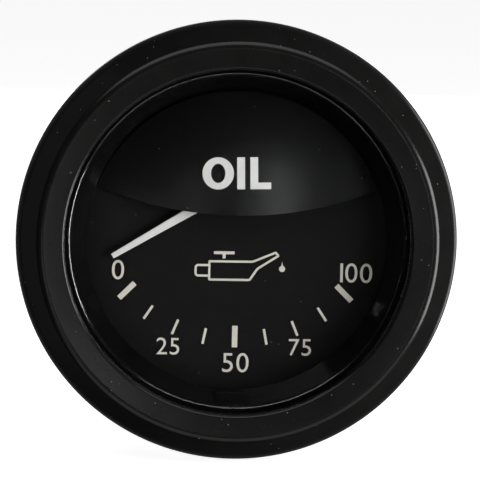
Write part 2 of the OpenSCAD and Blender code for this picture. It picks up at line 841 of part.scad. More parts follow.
module sector_gear() {
    root = sector_pitch_r - tooth_root;
    eq_teeth = pinion_teeth * gear_ratio;
    color([0.84, 0.7, 0.4])
    difference() {
        slab(sector_y, sector_t)
        translate([0, sector_z])
        rotate(90 + sector_half_swing) {
            toothed_outline(sector_pitch_r, eq_teeth, sector_addendum, sector_teeth);
            intersection() {
                circle(root);
                polygon([[0, 0],
                         [2 * root, -2 * root * tan(sector_side_angle)],
                         [2 * root, 2 * root * tan(sector_side_angle)]]);
            }
            circle(sector_hub_r);
            translate([-tail_arm, -sector_tail_r])
            square([tail_arm, 2 * sector_tail_r]);
            translate([-tail_arm, 0])
            circle(sector_tail_r);
        }
        slab(sector_y - cut, sector_t + 2 * cut)
        translate([0, sector_z])
        rotate(90 + sector_half_swing)
        translate([(sector_hub_r + root - sector_rim_w) / 2 + sector_window_lift, 0])
        circle((root - sector_rim_w - sector_hub_r) / 2);
        rod([0, sector_z], sector_arbor_r + fit_gap, sector_y - cut, sector_y + sector_t + cut);
        rod([sector_pin_x, sector_pin_z], link_pin_r + fit_gap,
            sector_y - cut, sector_y + sector_t + cut);
    }
}

module sector_arbor() {
    color([0.75, 0.75, 0.76])
    rod([0, sector_z], sector_arbor_r, front_plate_y, movement_rear_y);
}

module sector_pin() {
    color([0.75, 0.75, 0.76])
    rod([sector_pin_x, sector_pin_z], link_pin_r, sector_y, link_y + link_t + link_gap);
}

module link() {
    span = [tip_pin_x - sector_pin_x, tip_pin_z - sector_pin_z];
    color([0.8, 0.7, 0.45])
    difference() {
        slab(link_y, link_t)
        translate([sector_pin_x, sector_pin_z])
        rotate(atan2(span.y, span.x)) {
            translate([0, -link_w / 2])
            square([norm(span), link_w]);
            circle(link_eye_r);
            translate([norm(span), 0])
            circle(link_eye_r);
        }
        rod([sector_pin_x, sector_pin_z], link_pin_r + run_gap, link_y - cut, link_y + link_t + cut);
        rod([tip_pin_x, tip_pin_z], link_pin_r + open_eye_gap, link_y - cut, link_y + link_t + cut);
    }
}

// Section of the tube, a flat oval, grown by d
module tube_section(d) {
    half_h = tube_h / 2 + d;
    flat = tube_w / 2 - tube_h / 2;
    translate([tube_r - half_h, -flat])
    square([2 * half_h, 2 * flat]);
    for (side = [-1, 1])
        translate([tube_r, side * flat])
        circle(half_h);
}

// The tube's sweep from angle a0 to a1 in the plane of the dial, with its section grown by d
module tube_run(a0, a1, d) {
    translate([0, tube_y, 0])
    rotate([90, 0, 0])
    rotate_extrude(angle = a1 - a0, start = a0)
    tube_section(d);
}

module bourdon_tube() {
    color([0.78, 0.6, 0.3])
    difference() {
        tube_run(tube_start_angle - seat_angle, tube_end_angle, 0);
        tube_run(tube_start_angle - seat_angle - 1, tube_end_angle + 1, -tube_wall);
    }
}
seat_angle = tube_seat_len / tube_r * 180 / PI;
cap_lap_angle = cap_lap / tube_r * 180 / PI;

module tip_cap() {
    half_h = tube_h / 2 + cap_wall;
    half_w = tube_w / 2 + cap_wall;
    color([0.8, 0.66, 0.36])
    difference() {
        rotate([0, -tube_end_angle, 0])
        translate([tube_r - half_h, tube_y - half_w, -cap_lap])
        cube([2 * half_h, 2 * half_w, cap_lap + cap_len]);
        tube_run(tube_end_angle - 2 * cap_lap_angle, tube_end_angle, fit_gap);
        rotate([0, -tube_end_angle, 0])
        translate([tube_r - half_h - cut, link_y - (cap_slot_t - link_t) / 2, cap_wall])
        cube([2 * half_h + 2 * cut, cap_slot_t, cap_len + cut]);
        rod([tip_pin_x, tip_pin_z], link_pin_r + fit_gap, tube_y - half_w - cut, tube_y + half_w + cut);
    }
}

module tip_pin() {
    color([0.75, 0.75, 0.76])
    rod([tip_pin_x, tip_pin_z], link_pin_r, tube_y - tube_w / 2, tube_y + tube_w / 2);
}

module socket_block() {
    color([0.8, 0.64, 0.34])
    difference() {
        union() {
            translate([-block_half_w, block_y, block_bottom_z])
            cube([2 * block_half_w, block_flange_t, block_top_z - block_bottom_z]);
            translate([-pillar_half_w, tube_y - tube_w / 2 - cap_wall, pillar_outer_z])
            cube([2 * pillar_half_w,
                  wall_y - tube_y + tube_w / 2 + cap_wall,
                  pillar_inner_z - pillar_outer_z]);
            rod([0, 0], fixing_r, wall_y - cut, inlet_start_y);
            rod([0, 0], inlet_r, inlet_start_y - cut, inlet_end_y);
            translate([0, inlet_end_y, 0])
            rotate([-90, 0, 0])
            cylinder(r1 = inlet_r, r2 = inlet_r - inlet_chamfer, h = inlet_chamfer);
        }
        rod([0, 0], passage_r, passage_y, inlet_end_y + inlet_chamfer + cut);
        translate([0, passage_y, -tube_r])
        cylinder(r = passage_r, h = tube_r);
        rod([0, -tube_r], passage_r, tube_y, passage_y + passage_r);
        tube_run(tube_start_angle - seat_angle, tube_start_angle + 30, fit_gap);
        tube_run(270, tube_start_angle, -tube_wall);
    }
}

module inlet_washer() {
    color([0.55, 0.3, 0.2])
    difference() {
        rod([0, 0], washer_r, case_depth, case_depth + washer_t);
        rod([0, 0], fixing_r + ring_gap, case_depth - cut, case_depth + washer_t + cut);
    }
}

module inlet_nut() {
    nut_y = case_depth + washer_t;
    color([0.82, 0.68, 0.36])
    difference() {
        slab(nut_y, nut_t)
        circle(nut_corner_r, $fn = 6);
        rod([0, 0], fixing_r + fit_gap, nut_y - cut, nut_y + nut_t + cut);
    }
}

module clamp_studs() {
    stud_end_y = case_depth + stud_len;
    color([0.72, 0.72, 0.7])
    for (side = [-1, 1])
        union() {
            rod([side * stud_x, 0], stud_head_r, wall_y - stud_head_t, wall_y);
            rod([side * stud_x, 0], stud_r, wall_y - cut, stud_end_y - stud_chamfer);
            translate([side * stud_x, stud_end_y - stud_chamfer, 0])
            rotate([-90, 0, 0])
            cylinder(r1 = stud_r, r2 = stud_r - stud_chamfer, h = stud_chamfer);
        }
}

module clamp_bracket() {
    outer_x = leg_x + bracket_t;
    color([0.7, 0.7, 0.66])
    difference() {
        union() {
            translate([0, 0, -leg_w / 2])
            linear_extrude(leg_w)
            polygon(concat(
                [[outer_x, panel_t]],
                arc([outer_x - bend_r, bar_rear_y - bend_r], bend_r, 0, 90, 8),
                arc([bend_r - outer_x, bar_rear_y - bend_r], bend_r, 90, 180, 8),
                [[-outer_x, panel_t], [-leg_x, panel_t]],
                arc([bend_r - outer_x, bar_rear_y - bend_r], bend_r - bracket_t, 180, 90, 6),
                arc([outer_x - bend_r, bar_rear_y - bend_r], bend_r - bracket_t, 90, 0, 6),
                [[leg_x, panel_t]]));
            rod([0, 0], bar_ring_r, bar_y, bar_rear_y);
        }
        rod([0, 0], bar_hole_r, bar_y - cut, bar_rear_y + cut);
        for (side = [-1, 1])
            rod([side * stud_x, 0], stud_r + stud_hole_gap, bar_y - cut, bar_rear_y + cut);
    }
}

module spring_washers() {
    color([0.6, 0.6, 0.6])
    for (side = [-1, 1])
        difference() {
            rod([side * stud_x, 0], spring_washer_r, bar_rear_y, bar_rear_y + spring_washer_t);
            rod([side * stud_x, 0], stud_r + stud_hole_gap, bar_rear_y - cut, knob_y + cut);
            translate([side * stud_x - spring_washer_cut / 2, bar_rear_y - cut, 0])
            cube([spring_washer_cut, spring_washer_t + 2 * cut, spring_washer_r + cut]);
        }
}

// A knurled nut on the stud at x
module knurled_nut(x) {
    color([0.8, 0.66, 0.36])
    difference() {
        union() {
            rod([x, 0], knob_collar_r, knob_y, knob_y + knob_collar_t);
            slab(knob_y + knob_collar_t, knob_h)
            translate([x, 0])
            polygon([for (i = [0 : 2 * knurls - 1])
                let (r = knob_r - (i % 2) * knurl_depth)
                [r * cos(i * 180 / knurls), r * sin(i * 180 / knurls)]]);
        }
        rod([x, 0], stud_r + run_gap, knob_y - cut, knob_y + knob_collar_t + knob_h + cut);
    }
}

module clamp_nut_left() {
    knurled_nut(-stud_x);
}

module clamp_nut_right() {
    knurled_nut(stud_x);
}

module bulb_holder() {
    tail_y = case_depth + holder_flange_t;
    color([0.12, 0.12, 0.12])
    difference() {
        union() {
            rod([0, lamp_z], holder_r, case_depth - holder_reach, case_depth);
            rod([0, lamp_z], holder_flange_r, case_depth, tail_y);
            rod([0, lamp_z], holder_tail_r, tail_y, tail_y + holder_tail_len);
        }
        rod([0, lamp_z], bulb_cap_r + fit_gap, case_depth - holder_reach - cut,
            case_depth - holder_reach + holder_bore_depth);
        translate([-blade_w / 2 - fit_gap,
                   tail_y + holder_tail_len - blade_sink,
                   lamp_z - blade_t / 2 - fit_gap])
        cube([blade_w + 2 * fit_gap, blade_sink + cut, blade_t + 2 * fit_gap]);
    }
}

module bulb_cap() {
    color([0.75, 0.74, 0.7])
    rod([0, lamp_z], bulb_cap_r, bulb_cap_y, case_depth - holder_reach + holder_bore_depth);
}

module bulb_glass() {
    color([0.85, 0.88, 0.88, 0.4])
    union() {
        rod([0, lamp_z], bulb_r, bulb_cap_y - bulb_glass_len, bulb_cap_y);
        translate([0, bulb_cap_y - bulb_glass_len, lamp_z])
        sphere(bulb_r);
    }
}

module lamp_terminal() {
    tail_end_y = case_depth + holder_flange_t + holder_tail_len;
    color([0.8, 0.7, 0.4])
    translate([-blade_w / 2, tail_end_y - blade_sink, lamp_z - blade_t / 2])
    cube([blade_w, blade_sink + blade_len, blade_t]);
}

bezel();
glass();
glass_gasket();
spacer_ring();
light_windows();
dial_hood();
scale_marks();
dial();
dial_screws();
stop_pin();
dial_posts();
dial_seat_ring();
case();
pointer_blade();
pointer_boss();
pinion();
hairspring_collet();
hairspring();
hairspring_stud();
movement_front_plate();
movement_back_plate();
movement_pillars();
plate_screws();
movement_posts();
post_screws();
sector_gear();
sector_arbor();
sector_pin();
link();
tip_cap();
tip_pin();
bourdon_tube();
socket_block();
inlet_washer();
inlet_nut();
clamp_studs();
clamp_bracket();
spring_washers();
clamp_nut_left();
clamp_nut_right();
bulb_holder();
bulb_cap();
bulb_glass();
lamp_terminal();
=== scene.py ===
import json
import math

import bmesh
import bpy
from mathutils import Matrix, Vector


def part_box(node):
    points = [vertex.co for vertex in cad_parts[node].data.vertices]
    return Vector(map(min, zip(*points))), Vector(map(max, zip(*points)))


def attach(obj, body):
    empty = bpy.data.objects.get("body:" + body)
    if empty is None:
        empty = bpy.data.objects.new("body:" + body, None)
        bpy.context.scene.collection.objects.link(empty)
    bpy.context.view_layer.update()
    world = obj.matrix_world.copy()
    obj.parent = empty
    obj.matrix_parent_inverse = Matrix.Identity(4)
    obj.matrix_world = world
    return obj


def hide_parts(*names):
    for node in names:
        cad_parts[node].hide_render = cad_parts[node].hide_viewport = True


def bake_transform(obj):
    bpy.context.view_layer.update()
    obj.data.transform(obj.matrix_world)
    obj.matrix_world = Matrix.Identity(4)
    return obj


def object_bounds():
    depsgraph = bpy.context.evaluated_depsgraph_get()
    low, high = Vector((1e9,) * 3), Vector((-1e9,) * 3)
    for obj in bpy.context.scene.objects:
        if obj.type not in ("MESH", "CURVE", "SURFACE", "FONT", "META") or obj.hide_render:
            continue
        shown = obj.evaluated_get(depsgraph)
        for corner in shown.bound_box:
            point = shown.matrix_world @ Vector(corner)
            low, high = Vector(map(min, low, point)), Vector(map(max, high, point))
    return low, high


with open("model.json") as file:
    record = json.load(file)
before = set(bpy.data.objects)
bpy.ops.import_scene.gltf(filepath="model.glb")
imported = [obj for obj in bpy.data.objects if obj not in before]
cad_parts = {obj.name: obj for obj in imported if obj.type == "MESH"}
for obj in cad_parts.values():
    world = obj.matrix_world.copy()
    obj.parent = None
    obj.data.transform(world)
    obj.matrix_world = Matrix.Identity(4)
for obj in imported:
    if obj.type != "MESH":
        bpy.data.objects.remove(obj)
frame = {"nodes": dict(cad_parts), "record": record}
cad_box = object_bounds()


# Camera, floor and light. The gauge is seen from a little above and to the left of its axis, over
# a plain pale floor. A large soft light stands at its right, small ones stand in front where the
# hood and the bezel mirror them but the flat glass doesn't, and weak ones stand round the rest.
mm = 0.001
scene = bpy.context.scene
camera_azimuth = math.radians(-3.3)
camera_elevation = math.radians(6.2)
camera_roll = math.radians(1.2)
camera_distance = 450 * mm
frame_width = 65.7 * mm
aim = Vector((0.30, -2.5, 0.32)) * mm


def placed(name, data):
    """A new object in the scene"""
    made = bpy.data.objects.new(name, data)
    scene.collection.objects.link(made)
    return made


def direction(azimuth, elevation):
    """Unit vector from the gauge towards a place at these angles; azimuth 0 is straight in front"""
    return Vector((math.sin(azimuth) * math.cos(elevation),
                   -math.cos(azimuth) * math.cos(elevation),
                   math.sin(elevation)))


camera_data = bpy.data.cameras.new("camera")
camera_data.sensor_width = 36
camera_data.lens = camera_data.sensor_width * camera_distance / frame_width
camera_data.clip_start = 10 * mm
camera_data.clip_end = 20
camera = placed("camera", camera_data)
back = direction(camera_azimuth, camera_elevation)
camera.location = aim + back * camera_distance
camera.rotation_euler = (back.to_track_quat("Z", "Y").to_matrix()
                         @ Matrix.Rotation(camera_roll, 3, "Z")).to_euler()
scene.camera = camera
scene.view_settings.view_transform = "Standard"


def put(tree, kind, inputs=None, **settings):
    """Adds a shader node to a tree, sets it up, and links or fills the inputs that are named"""
    new = tree.nodes.new("ShaderNode" + kind)
    for name, value in settings.items():
        setattr(new, name, value)
    for key, value in (inputs or {}).items():
        if isinstance(value, bpy.types.NodeSocket):
            tree.links.new(value, new.inputs[key])
        else:
            new.inputs[key].default_value = value
    return new


def softbox(name, azimuth, elevation, width, height, radiance, distance=0.60):
    """A plain rectangular studio light that faces the gauge and doesn't show by itself. Its angles
    are in degrees and its lengths in metres"""
    data = bpy.data.lights.new(name, "AREA")
    data.shape = "RECTANGLE"
    data.size = width
    data.size_y = height
    data.energy = radiance * math.pi * width * height
    light = placed(name, data)
    towards = direction(math.radians(azimuth), math.radians(elevation))
    light.location = towards * distance
    light.rotation_euler = towards.to_track_quat("Z", "Y").to_euler()
    light.visible_camera = False


softbox("right_light", 62, -5, 0.28, 0.45, 12.0)
softbox("rim_light", 132, 0, 0.18, 0.50, 1.3)
softbox("top_light", 0, 60, 0.90, 0.38, 2.1)
softbox("low_light", 5, -43, 0.90, 0.34, 0.9)
softbox("left_light", -90, -5, 0.21, 1.90, 0.15)
softbox("front_light", -17, -12, 0.08, 0.10, 2.6)
softbox("hood_light", 11.3, -3, 0.05, 0.16, 3.0)
softbox("hood_fill_light", -5.3, -3, 0.05, 0.10, 0.9)
softbox("high_light", 4, 4, 0.10, 0.05, 0.4)
softbox("rear_light", 180, 5, 0.50, 0.50, 1.7, distance=0.80)

room_brightness = 0.15
brightest_heading = 0.9
world = bpy.data.worlds.new("studio")
world.use_nodes = True
scene.world = world
room = world.node_tree
room.nodes.clear()
heading = put(room, "SeparateXYZ", {0: put(room, "TexCoord").outputs["Generated"]})
dimness = put(room, "MapRange", {"Value": heading.outputs["Y"], "From Max": brightest_heading,
                                 "To Max": room_brightness})
dim_room = put(room, "Background", {"Strength": dimness.outputs["Result"]})
white_backdrop = put(room, "Background", {"Color": (1, 1, 1, 1), "Strength": 1.0})
seen = put(room, "MixShader", {0: put(room, "LightPath").outputs["Is Camera Ray"],
                               1: dim_room.outputs[0], 2: white_backdrop.outputs[0]})
put(room, "OutputWorld", {"Surface": seen.outputs[0]})

floor_size = 8.0
floor_gap = 0.5 * mm


def moved(bm, way):
    """Moves a whole shape"""
    bmesh.ops.translate(bm, verts=bm.verts, vec=way)


def new_material(name, **plain):
    """A new material with these inputs of its Principled shader, its node tree and the shader"""
    made = bpy.data.materials.new(name)
    made.use_nodes = True
    shader = made.node_tree.nodes["Principled BSDF"]
    for label, value in plain.items():
        shader.inputs[label.replace("_", " ")].default_value = value
    return made, made.node_tree, shader


bm = bmesh.new()
bmesh.ops.create_grid(bm, x_segments=1, y_segments=1, size=floor_size / 2)
moved(bm, (0, 0, cad_box[0].z - floor_gap))
floor_mesh = bpy.data.meshes.new("floor")
bm.to_mesh(floor_mesh)
bm.free()
floor = placed("floor", floor_mesh)
floor.visible_glossy = False
floor.visible_diffuse = False
floor.visible_shadow = False
floor.visible_transmission = False
floor_mesh.materials.append(new_material("pale_floor", Base_Color=(0.85, 0.85, 0.85, 1), Roughness=0.9,
                                         Emission_Color=(1, 1, 1, 1), Emission_Strength=0.9)[0])


# Case: a drawn steel can with a rolled flange at the front, a wide neck that passes the panel's
# hole and a narrower body, stoved black. Its rear wall is pierced for the inlet, studs and lamp.
nodes = frame["nodes"]
body_of = {name: body for body, names in frame["record"]["behaviour"]["bodies"].items()
           for name in names}
full_turn = 2 * math.pi
same_place = 1e-6
merge_reach = 1e-7
fit_gap = 0.05 * mm
dust_tone = (0.30, 0.29, 0.26, 1)
dust_cover = 0.5
hairline_tone = (0.4, 0.4, 0.4, 1)
hairline_cover = 0.25
case_low, case_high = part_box("case")
stud_low, stud_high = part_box("clamp_studs")
holder_low, holder_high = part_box("bulb_holder")
sheet = 0.7 * mm
flange_radius = case_high.x
flange_front = case_low.y
flange_rear = flange_front + sheet
neck_radius = flange_radius - 1.4 * mm
neck_rear = 6.0 * mm
body_radius = neck_radius - 1.0 * mm
case_rear = case_high.y
crimp_radius = neck_radius - 0.3 * mm
fixing_radius = 5.2 * mm
stud_radius = 2.0 * mm
stud_head_radius = 3.6 * mm
stud_x = stud_high.x - stud_head_radius
lamp_z = (holder_low.z + holder_high.z) / 2
holder_radius = 4.9 * mm


def node_group(name, outputs, **inputs):
    """An empty shader node group with a Vector input, number inputs and number outputs"""
    tree = bpy.data.node_groups.new(name, "ShaderNodeTree")
    tree.interface.new_socket(name="Vector", in_out="INPUT", socket_type="NodeSocketVector")
    for label, value in inputs.items():
        socket = tree.interface.new_socket(name=label, in_out="INPUT", socket_type="NodeSocketFloat")
        socket.default_value = value
    for label in outputs:
        tree.interface.new_socket(name=label, in_out="OUTPUT", socket_type="NodeSocketFloat")
    return tree, tree.nodes.new("NodeGroupInput").outputs, tree.nodes.new("NodeGroupOutput").inputs


def reckon(tree, operation, first, second=0.0, third=0.0):
    """The result of a Math node"""
    return put(tree, "Math", {0: first, 1: second, 2: third}, operation=operation).outputs[0]


def spread(tree, value, low, high, start=0.3, end=0.7):
    """Stretches a value that runs from start to end over low to high, and holds it there"""
    ranges = {"Value": value, "From Min": start, "From Max": end, "To Min": low, "To Max": high}
    return put(tree, "MapRange", ranges).outputs["Result"]


def mixed(tree, share, first, second):
    """Colour between two colours, by a share from 0 to 1"""
    return put(tree, "Mix", {0: share, 6: first, 7: second}, data_type="RGBA").outputs[2]


# Fine grain and broad tone of a coat, a casting or a moulding, for a grain size in metres
broad_share = 0.06
grain, given, result = node_group("coat_grain", ["Fine", "Broad"], Size=0.0003)
fine_scale = reckon(grain, "DIVIDE", 1.0, given["Size"])
broad_scale = reckon(grain, "DIVIDE", broad_share, given["Size"])
fine = put(grain, "TexNoise", {"Vector": given["Vector"], "Scale": fine_scale, "Detail": 2.0})
broad = put(grain, "TexNoise", {"Vector": given["Vector"], "Scale": broad_scale, "Detail": 4.0})
grain.links.new(fine.outputs["Fac"], result["Fine"])
grain.links.new(broad.outputs["Fac"], result["Broad"])

# Scattered specks of dust: a few of the cells of a coarse pattern hold one small speck each
specks, given, result = node_group("dust_specks", ["Mask"], Spacing=0.001, Share=0.2, Size=0.1)
cells = put(specks, "TexVoronoi", {"Vector": given["Vector"],
                                   "Scale": reckon(specks, "DIVIDE", 1.0, given["Spacing"])})
cell_colour = put(specks, "SeparateColor", {0: cells.outputs["Color"]})
chosen = reckon(specks, "LESS_THAN", cell_colour.outputs[0], given["Share"])
near = reckon(specks, "SUBTRACT", 1.0, reckon(specks, "DIVIDE", cells.outputs["Distance"], given["Size"]))
near = put(specks, "Clamp", {"Value": reckon(specks, "MULTIPLY", near, 3.0)}).outputs[0]
specks.links.new(reckon(specks, "MULTIPLY", near, chosen), result["Mask"])

# Hairline scratches: short stretches of the borders of a pattern of large cells
hairlines, given, result = node_group("hairlines", ["Mask"], Spacing=0.01, Width=0.00005, Share=0.3)
line_scale = reckon(hairlines, "DIVIDE", 1.0, given["Spacing"])
borders = put(hairlines, "TexVoronoi", {"Vector": given["Vector"], "Scale": line_scale},
              feature="DISTANCE_TO_EDGE")
relative_width = reckon(hairlines, "DIVIDE", given["Width"], given["Spacing"])
line = reckon(hairlines, "LESS_THAN", borders.outputs["Distance"], relative_width)
patches = put(hairlines, "TexNoise", {"Vector": given["Vector"], "Scale": line_scale})
kept = reckon(hairlines, "LESS_THAN", patches.outputs["Fac"], given["Share"])
hairlines.links.new(reckon(hairlines, "MULTIPLY", line, kept), result["Mask"])


def axis_reach(tree, place):
    """Distance of a place from the Y axis"""
    across = put(tree, "VectorMath", {0: place, 1: (1, 0, 1)}, operation="MULTIPLY").outputs[0]
    return put(tree, "VectorMath", {0: across}, operation="LENGTH").outputs["Value"]


# Turning lines round the Y axis, for a pitch in metres
lathe_marks, given, result = node_group("lathe_marks", ["Height"], Pitch=0.00008)
along = put(lathe_marks, "SeparateXYZ", {0: given["Vector"]}).outputs["Y"]
feed = reckon(lathe_marks, "ADD", axis_reach(lathe_marks, given["Vector"]), along)
feed = reckon(lathe_marks, "DIVIDE", feed, given["Pitch"])
lines = put(lathe_marks, "TexNoise", {"W": feed, "Scale": 1.0, "Detail": 1.0}, noise_dimensions="1D")
lathe_marks.links.new(lines.outputs["Fac"], result["Height"])


def tint(shade):
    """A colour from its three shares or, for a grey, from one"""
    return (shade, shade, shade, 1) if isinstance(shade, float) else (*shade, 1)


def finish(name, dark, light, roughness, size=0.3 * mm, relief=0.003 * mm, dust=0.0, scratched=0.0,
           pitch=0.0, centre=(0, 0, 0), stretch=(1, 1, 1), **plain):
    """A procedural finish: a colour between dark and light and a roughness between two values by
    its grain, a relief of that depth, and dust, hairlines and turning lines where they are asked.
    Turning lines run round the centre, and stretch draws the grain out across its small numbers"""
    made, tree, shader = new_material(name, **plain)
    place = put(tree, "Mapping", {"Vector": put(tree, "TexCoord").outputs["Object"],
                                  "Location": tuple(-c for c in centre)}).outputs[0]
    drawn = put(tree, "Mapping", {"Vector": place, "Scale": stretch}).outputs[0]
    coat = put(tree, "Group", {"Vector": drawn, "Size": size}, node_tree=grain)
    tone = spread(tree, coat.outputs["Broad"], 0.0, 1.0)
    colour = mixed(tree, tone, tint(dark), tint(light))
    rough = spread(tree, coat.outputs["Fine"], roughness[0], roughness[1])
    height = coat.outputs["Fine"]
    if pitch:
        lines = put(tree, "Group", {"Vector": place, "Pitch": pitch}, node_tree=lathe_marks)
        height = reckon(tree, "ADD", height, lines.outputs["Height"])
    if scratched:
        marks = put(tree, "Group", {"Vector": place, "Share": scratched}, node_tree=hairlines)
        marks = marks.outputs["Mask"]
        colour = mixed(tree, reckon(tree, "MULTIPLY", marks, hairline_cover), colour, hairline_tone)
        height = reckon(tree, "SUBTRACT", height, marks)
    if dust:
        dusted = put(tree, "Group", {"Vector": place, "Share": dust}, node_tree=specks)
        dusted = dusted.outputs["Mask"]
        colour = mixed(tree, reckon(tree, "MULTIPLY", dusted, dust_cover), colour, dust_tone)
        rough = reckon(tree, "MAXIMUM", rough, dusted)
    tree.links.new(colour, shader.inputs["Base Color"])
    tree.links.new(rough, shader.inputs["Roughness"])
    bump = put(tree, "Bump", {"Height": height, "Distance": relief, "Strength": 1.0})
    tree.links.new(bump.outputs["Normal"], shader.inputs["Normal"])
    return made


def piece(name, bm, material, node, stands=True, edge=0.0, crease=35, rides=True):
    """Makes an object of a bmesh, shaded smooth up to the crease angle, with its sharp edges broken
    by a width. It mostly rides on the node's body and stands for it, and takes the node's finish"""
    mesh = bpy.data.meshes.new(name)
    bm.to_mesh(mesh)
    bm.free()
    mesh.shade_smooth()
    mesh.set_sharp_from_angle(angle=math.radians(crease))
    mesh.materials.append(material)
    made = placed(name, mesh)
    if edge:
        broken = made.modifiers.new("broken_edges", "BEVEL")
        broken.width = edge
        broken.segments = 2
        broken.limit_method = "ANGLE"
        broken.angle_limit = math.radians(crease)
    even = made.modifiers.new("even_shading", "WEIGHTED_NORMAL")
    even.mode = "FACE_AREA"
    even.keep_sharp = True
    if rides:
        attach(made, body_of[node])
    if stands:
        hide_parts(node)
    return made


def meet(first, second):
    """Whether two lengths are the same but for rounding errors"""
    return math.isclose(first, second, abs_tol=same_place)


def edges_at(bm, test):
    """The edges whose two ends lie at places that pass a test"""
    return [e for e in bm.edges if all(test(v.co) for v in e.verts)]


def rounded(bm, parts, width, facets, affect="EDGES"):
    """Rounds edges or corners in so many facets; a single facet is a plain chamfer"""
    bmesh.ops.bevel(bm, geom=parts, offset=width, offset_type="OFFSET", affect=affect,
                    segments=facets, profile=0.5, material=-1)


def closed(bm):
    """Joins the corners that meet and turns the faces outward"""
    bmesh.ops.remove_doubles(bm, verts=bm.verts, dist=merge_reach)
    bmesh.ops.recalc_face_normals(bm, faces=bm.faces)


def turned(section, steps=192, centre=(0, 0), facets=6):
    """A round solid about the line through centre along Y. Each corner of its section is a radius,
    a place along Y and a rounding; the section is closed unless it starts and ends on the axis"""
    bm = bmesh.new()
    corners = [bm.verts.new((radius, y, 0)) for radius, y, rounding in section]
    on_axis = section[0][0] == 0 and section[-1][0] == 0
    pairs = list(zip(corners, corners[1:])) + ([] if on_axis else [(corners[-1], corners[0])])
    for pair in pairs:
        bm.edges.new(pair)
    bmesh.ops.spin(bm, geom=bm.verts[:] + bm.edges[:], cent=(0, 0, 0), axis=(0, 1, 0),
                   angle=full_turn, steps=steps, use_merge=True)
    closed(bm)
    for index, (radius, y, rounding) in enumerate(section):
        if not rounding:
            continue
        before, after = section[index - 1], section[(index + 1) % len(section)]
        way_in = Vector((radius - before[0], y - before[1])).normalized()
        way_out = Vector((after[0] - radius, after[1] - y)).normalized()
        half_turn = way_in.angle(way_out) / 2
        rim = edges_at(bm, lambda at: meet(math.hypot(at.x, at.z), radius) and meet(at.y, y))
        rounded(bm, rim, rounding * math.tan(half_turn), facets)
    moved(bm, (centre[0], 0, centre[1]))
    return bm


def rod(radius, y0, y1, centre=(0, 0), chamfer=0.0, steps=64):
    """A plain rod along Y, its ends chamfered"""
    ends = [(radius - chamfer, y0, 0)] if chamfer else []
    ends += [(radius, y0 + chamfer, 0), (radius, y1 - chamfer, 0)]
    ends += [(radius - chamfer, y1, 0)] if chamfer else []
    return turned([(0, y0, 0), *ends, (0, y1, 0)], steps, centre)


def stud_rods(radius, y0, y1):
    """Two rods in the studs' places, to cut their holes with"""
    return [rod(radius, y0, y1, (side * stud_x, 0)) for side in (1, -1)]


def worked(bm, operation, *tools):
    """The solid that is left when the tools are cut from it, added to it or kept in common with it"""
    blank = placed("blank", bpy.data.meshes.new("blank"))
    bm.to_mesh(blank.data)
    made = [blank]
    for other in tools:
        tool = placed("tool", bpy.data.meshes.new("tool"))
        other.to_mesh(tool.data)
        other.free()
        step = blank.modifiers.new("step", "BOOLEAN")
        step.object = tool
        step.solver = "EXACT"
        step.operation = operation
        made.append(tool)
    shape = bpy.data.meshes.new_from_object(blank.evaluated_get(bpy.context.evaluated_depsgraph_get()))
    bm.clear()
    bm.from_mesh(shape)
    for spent in made:
        bpy.data.objects.remove(spent)
    return bm


case_paint = finish("stoved_black_steel", 0.012, (0.022, 0.021, 0.020), (0.38, 0.52),
                    size=0.25 * mm, relief=0.004 * mm, dust=0.25, scratched=0.1)
can = turned([
    (neck_radius - sheet, flange_front, 0.3 * mm),
    (flange_radius, flange_front, 0.2 * mm),
    (flange_radius, flange_rear, 0.2 * mm),
    (crimp_radius, flange_rear, 0),
    (crimp_radius, 0, 0),
    (neck_radius, 0, 0.1 * mm),
    (neck_radius, neck_rear, 0.3 * mm),
    (body_radius, neck_rear, 0.3 * mm),
    (body_radius, case_rear, 1.6 * mm),
    (fixing_radius + 2 * fit_gap, case_rear, 0),
    (fixing_radius + 2 * fit_gap, case_rear - sheet, 0),
    (body_radius - sheet, case_rear - sheet, 0.9 * mm),
    (body_radius - sheet, neck_rear - sheet, 0.2 * mm),
    (neck_radius - sheet, neck_rear - sheet, 0.2 * mm)])
worked(can, "DIFFERENCE", *stud_rods(stud_radius + fit_gap, stud_low.y, stud_high.y),
       rod(holder_radius + 2 * fit_gap, holder_low.y, holder_high.y, (0, lamp_z)))
piece("drawn_case", can, case_paint, "case", edge=0.06 * mm)


# Socket block: a brass block with the oil inlet's threaded spigot, which passes the case's rear
# wall. It feeds and holds the spring tube. Its spigot has one thread for the nut that fixes it
# and a smaller pipe thread for the oil pipe.
inlet_radius = 4.864 * mm
inlet_start = 32.6 * mm
inlet_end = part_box("socket_block")[1].y
pipe_pitch = 0.907 * mm
pipe_thread_depth = 0.58 * mm
fixing_pitch = 0.75 * mm
fixing_thread_depth = 0.45 * mm
passage_radius = 1.5 * mm
overlap = 0.3 * mm
thread_outline = ((0, 0), (0.2, 0), (0.52, 1), (0.68, 1), (1, 0))


def capped(bm, sides=0):
    """Closes the open borders of a mesh"""
    bmesh.ops.holes_fill(bm, edges=[e for e in bm.edges if e.is_boundary], sides=sides)


def trimmed(bm, place, way, reach=merge_reach):
    """Cuts a mesh at a plane and drops what lies on the way's side of it"""
    bmesh.ops.bisect_plane(bm, geom=bm.verts[:] + bm.edges[:] + bm.faces[:], dist=reach,
                           plane_co=place, plane_no=way, clear_outer=True)


def drawn_in(corner, radius):
    """Draws a corner in to a distance from the Y axis, if it lies further out"""
    reach = math.hypot(corner.co.x, corner.co.z)
    if reach > radius:
        corner.co.x *= radius / reach
        corner.co.z *= radius / reach


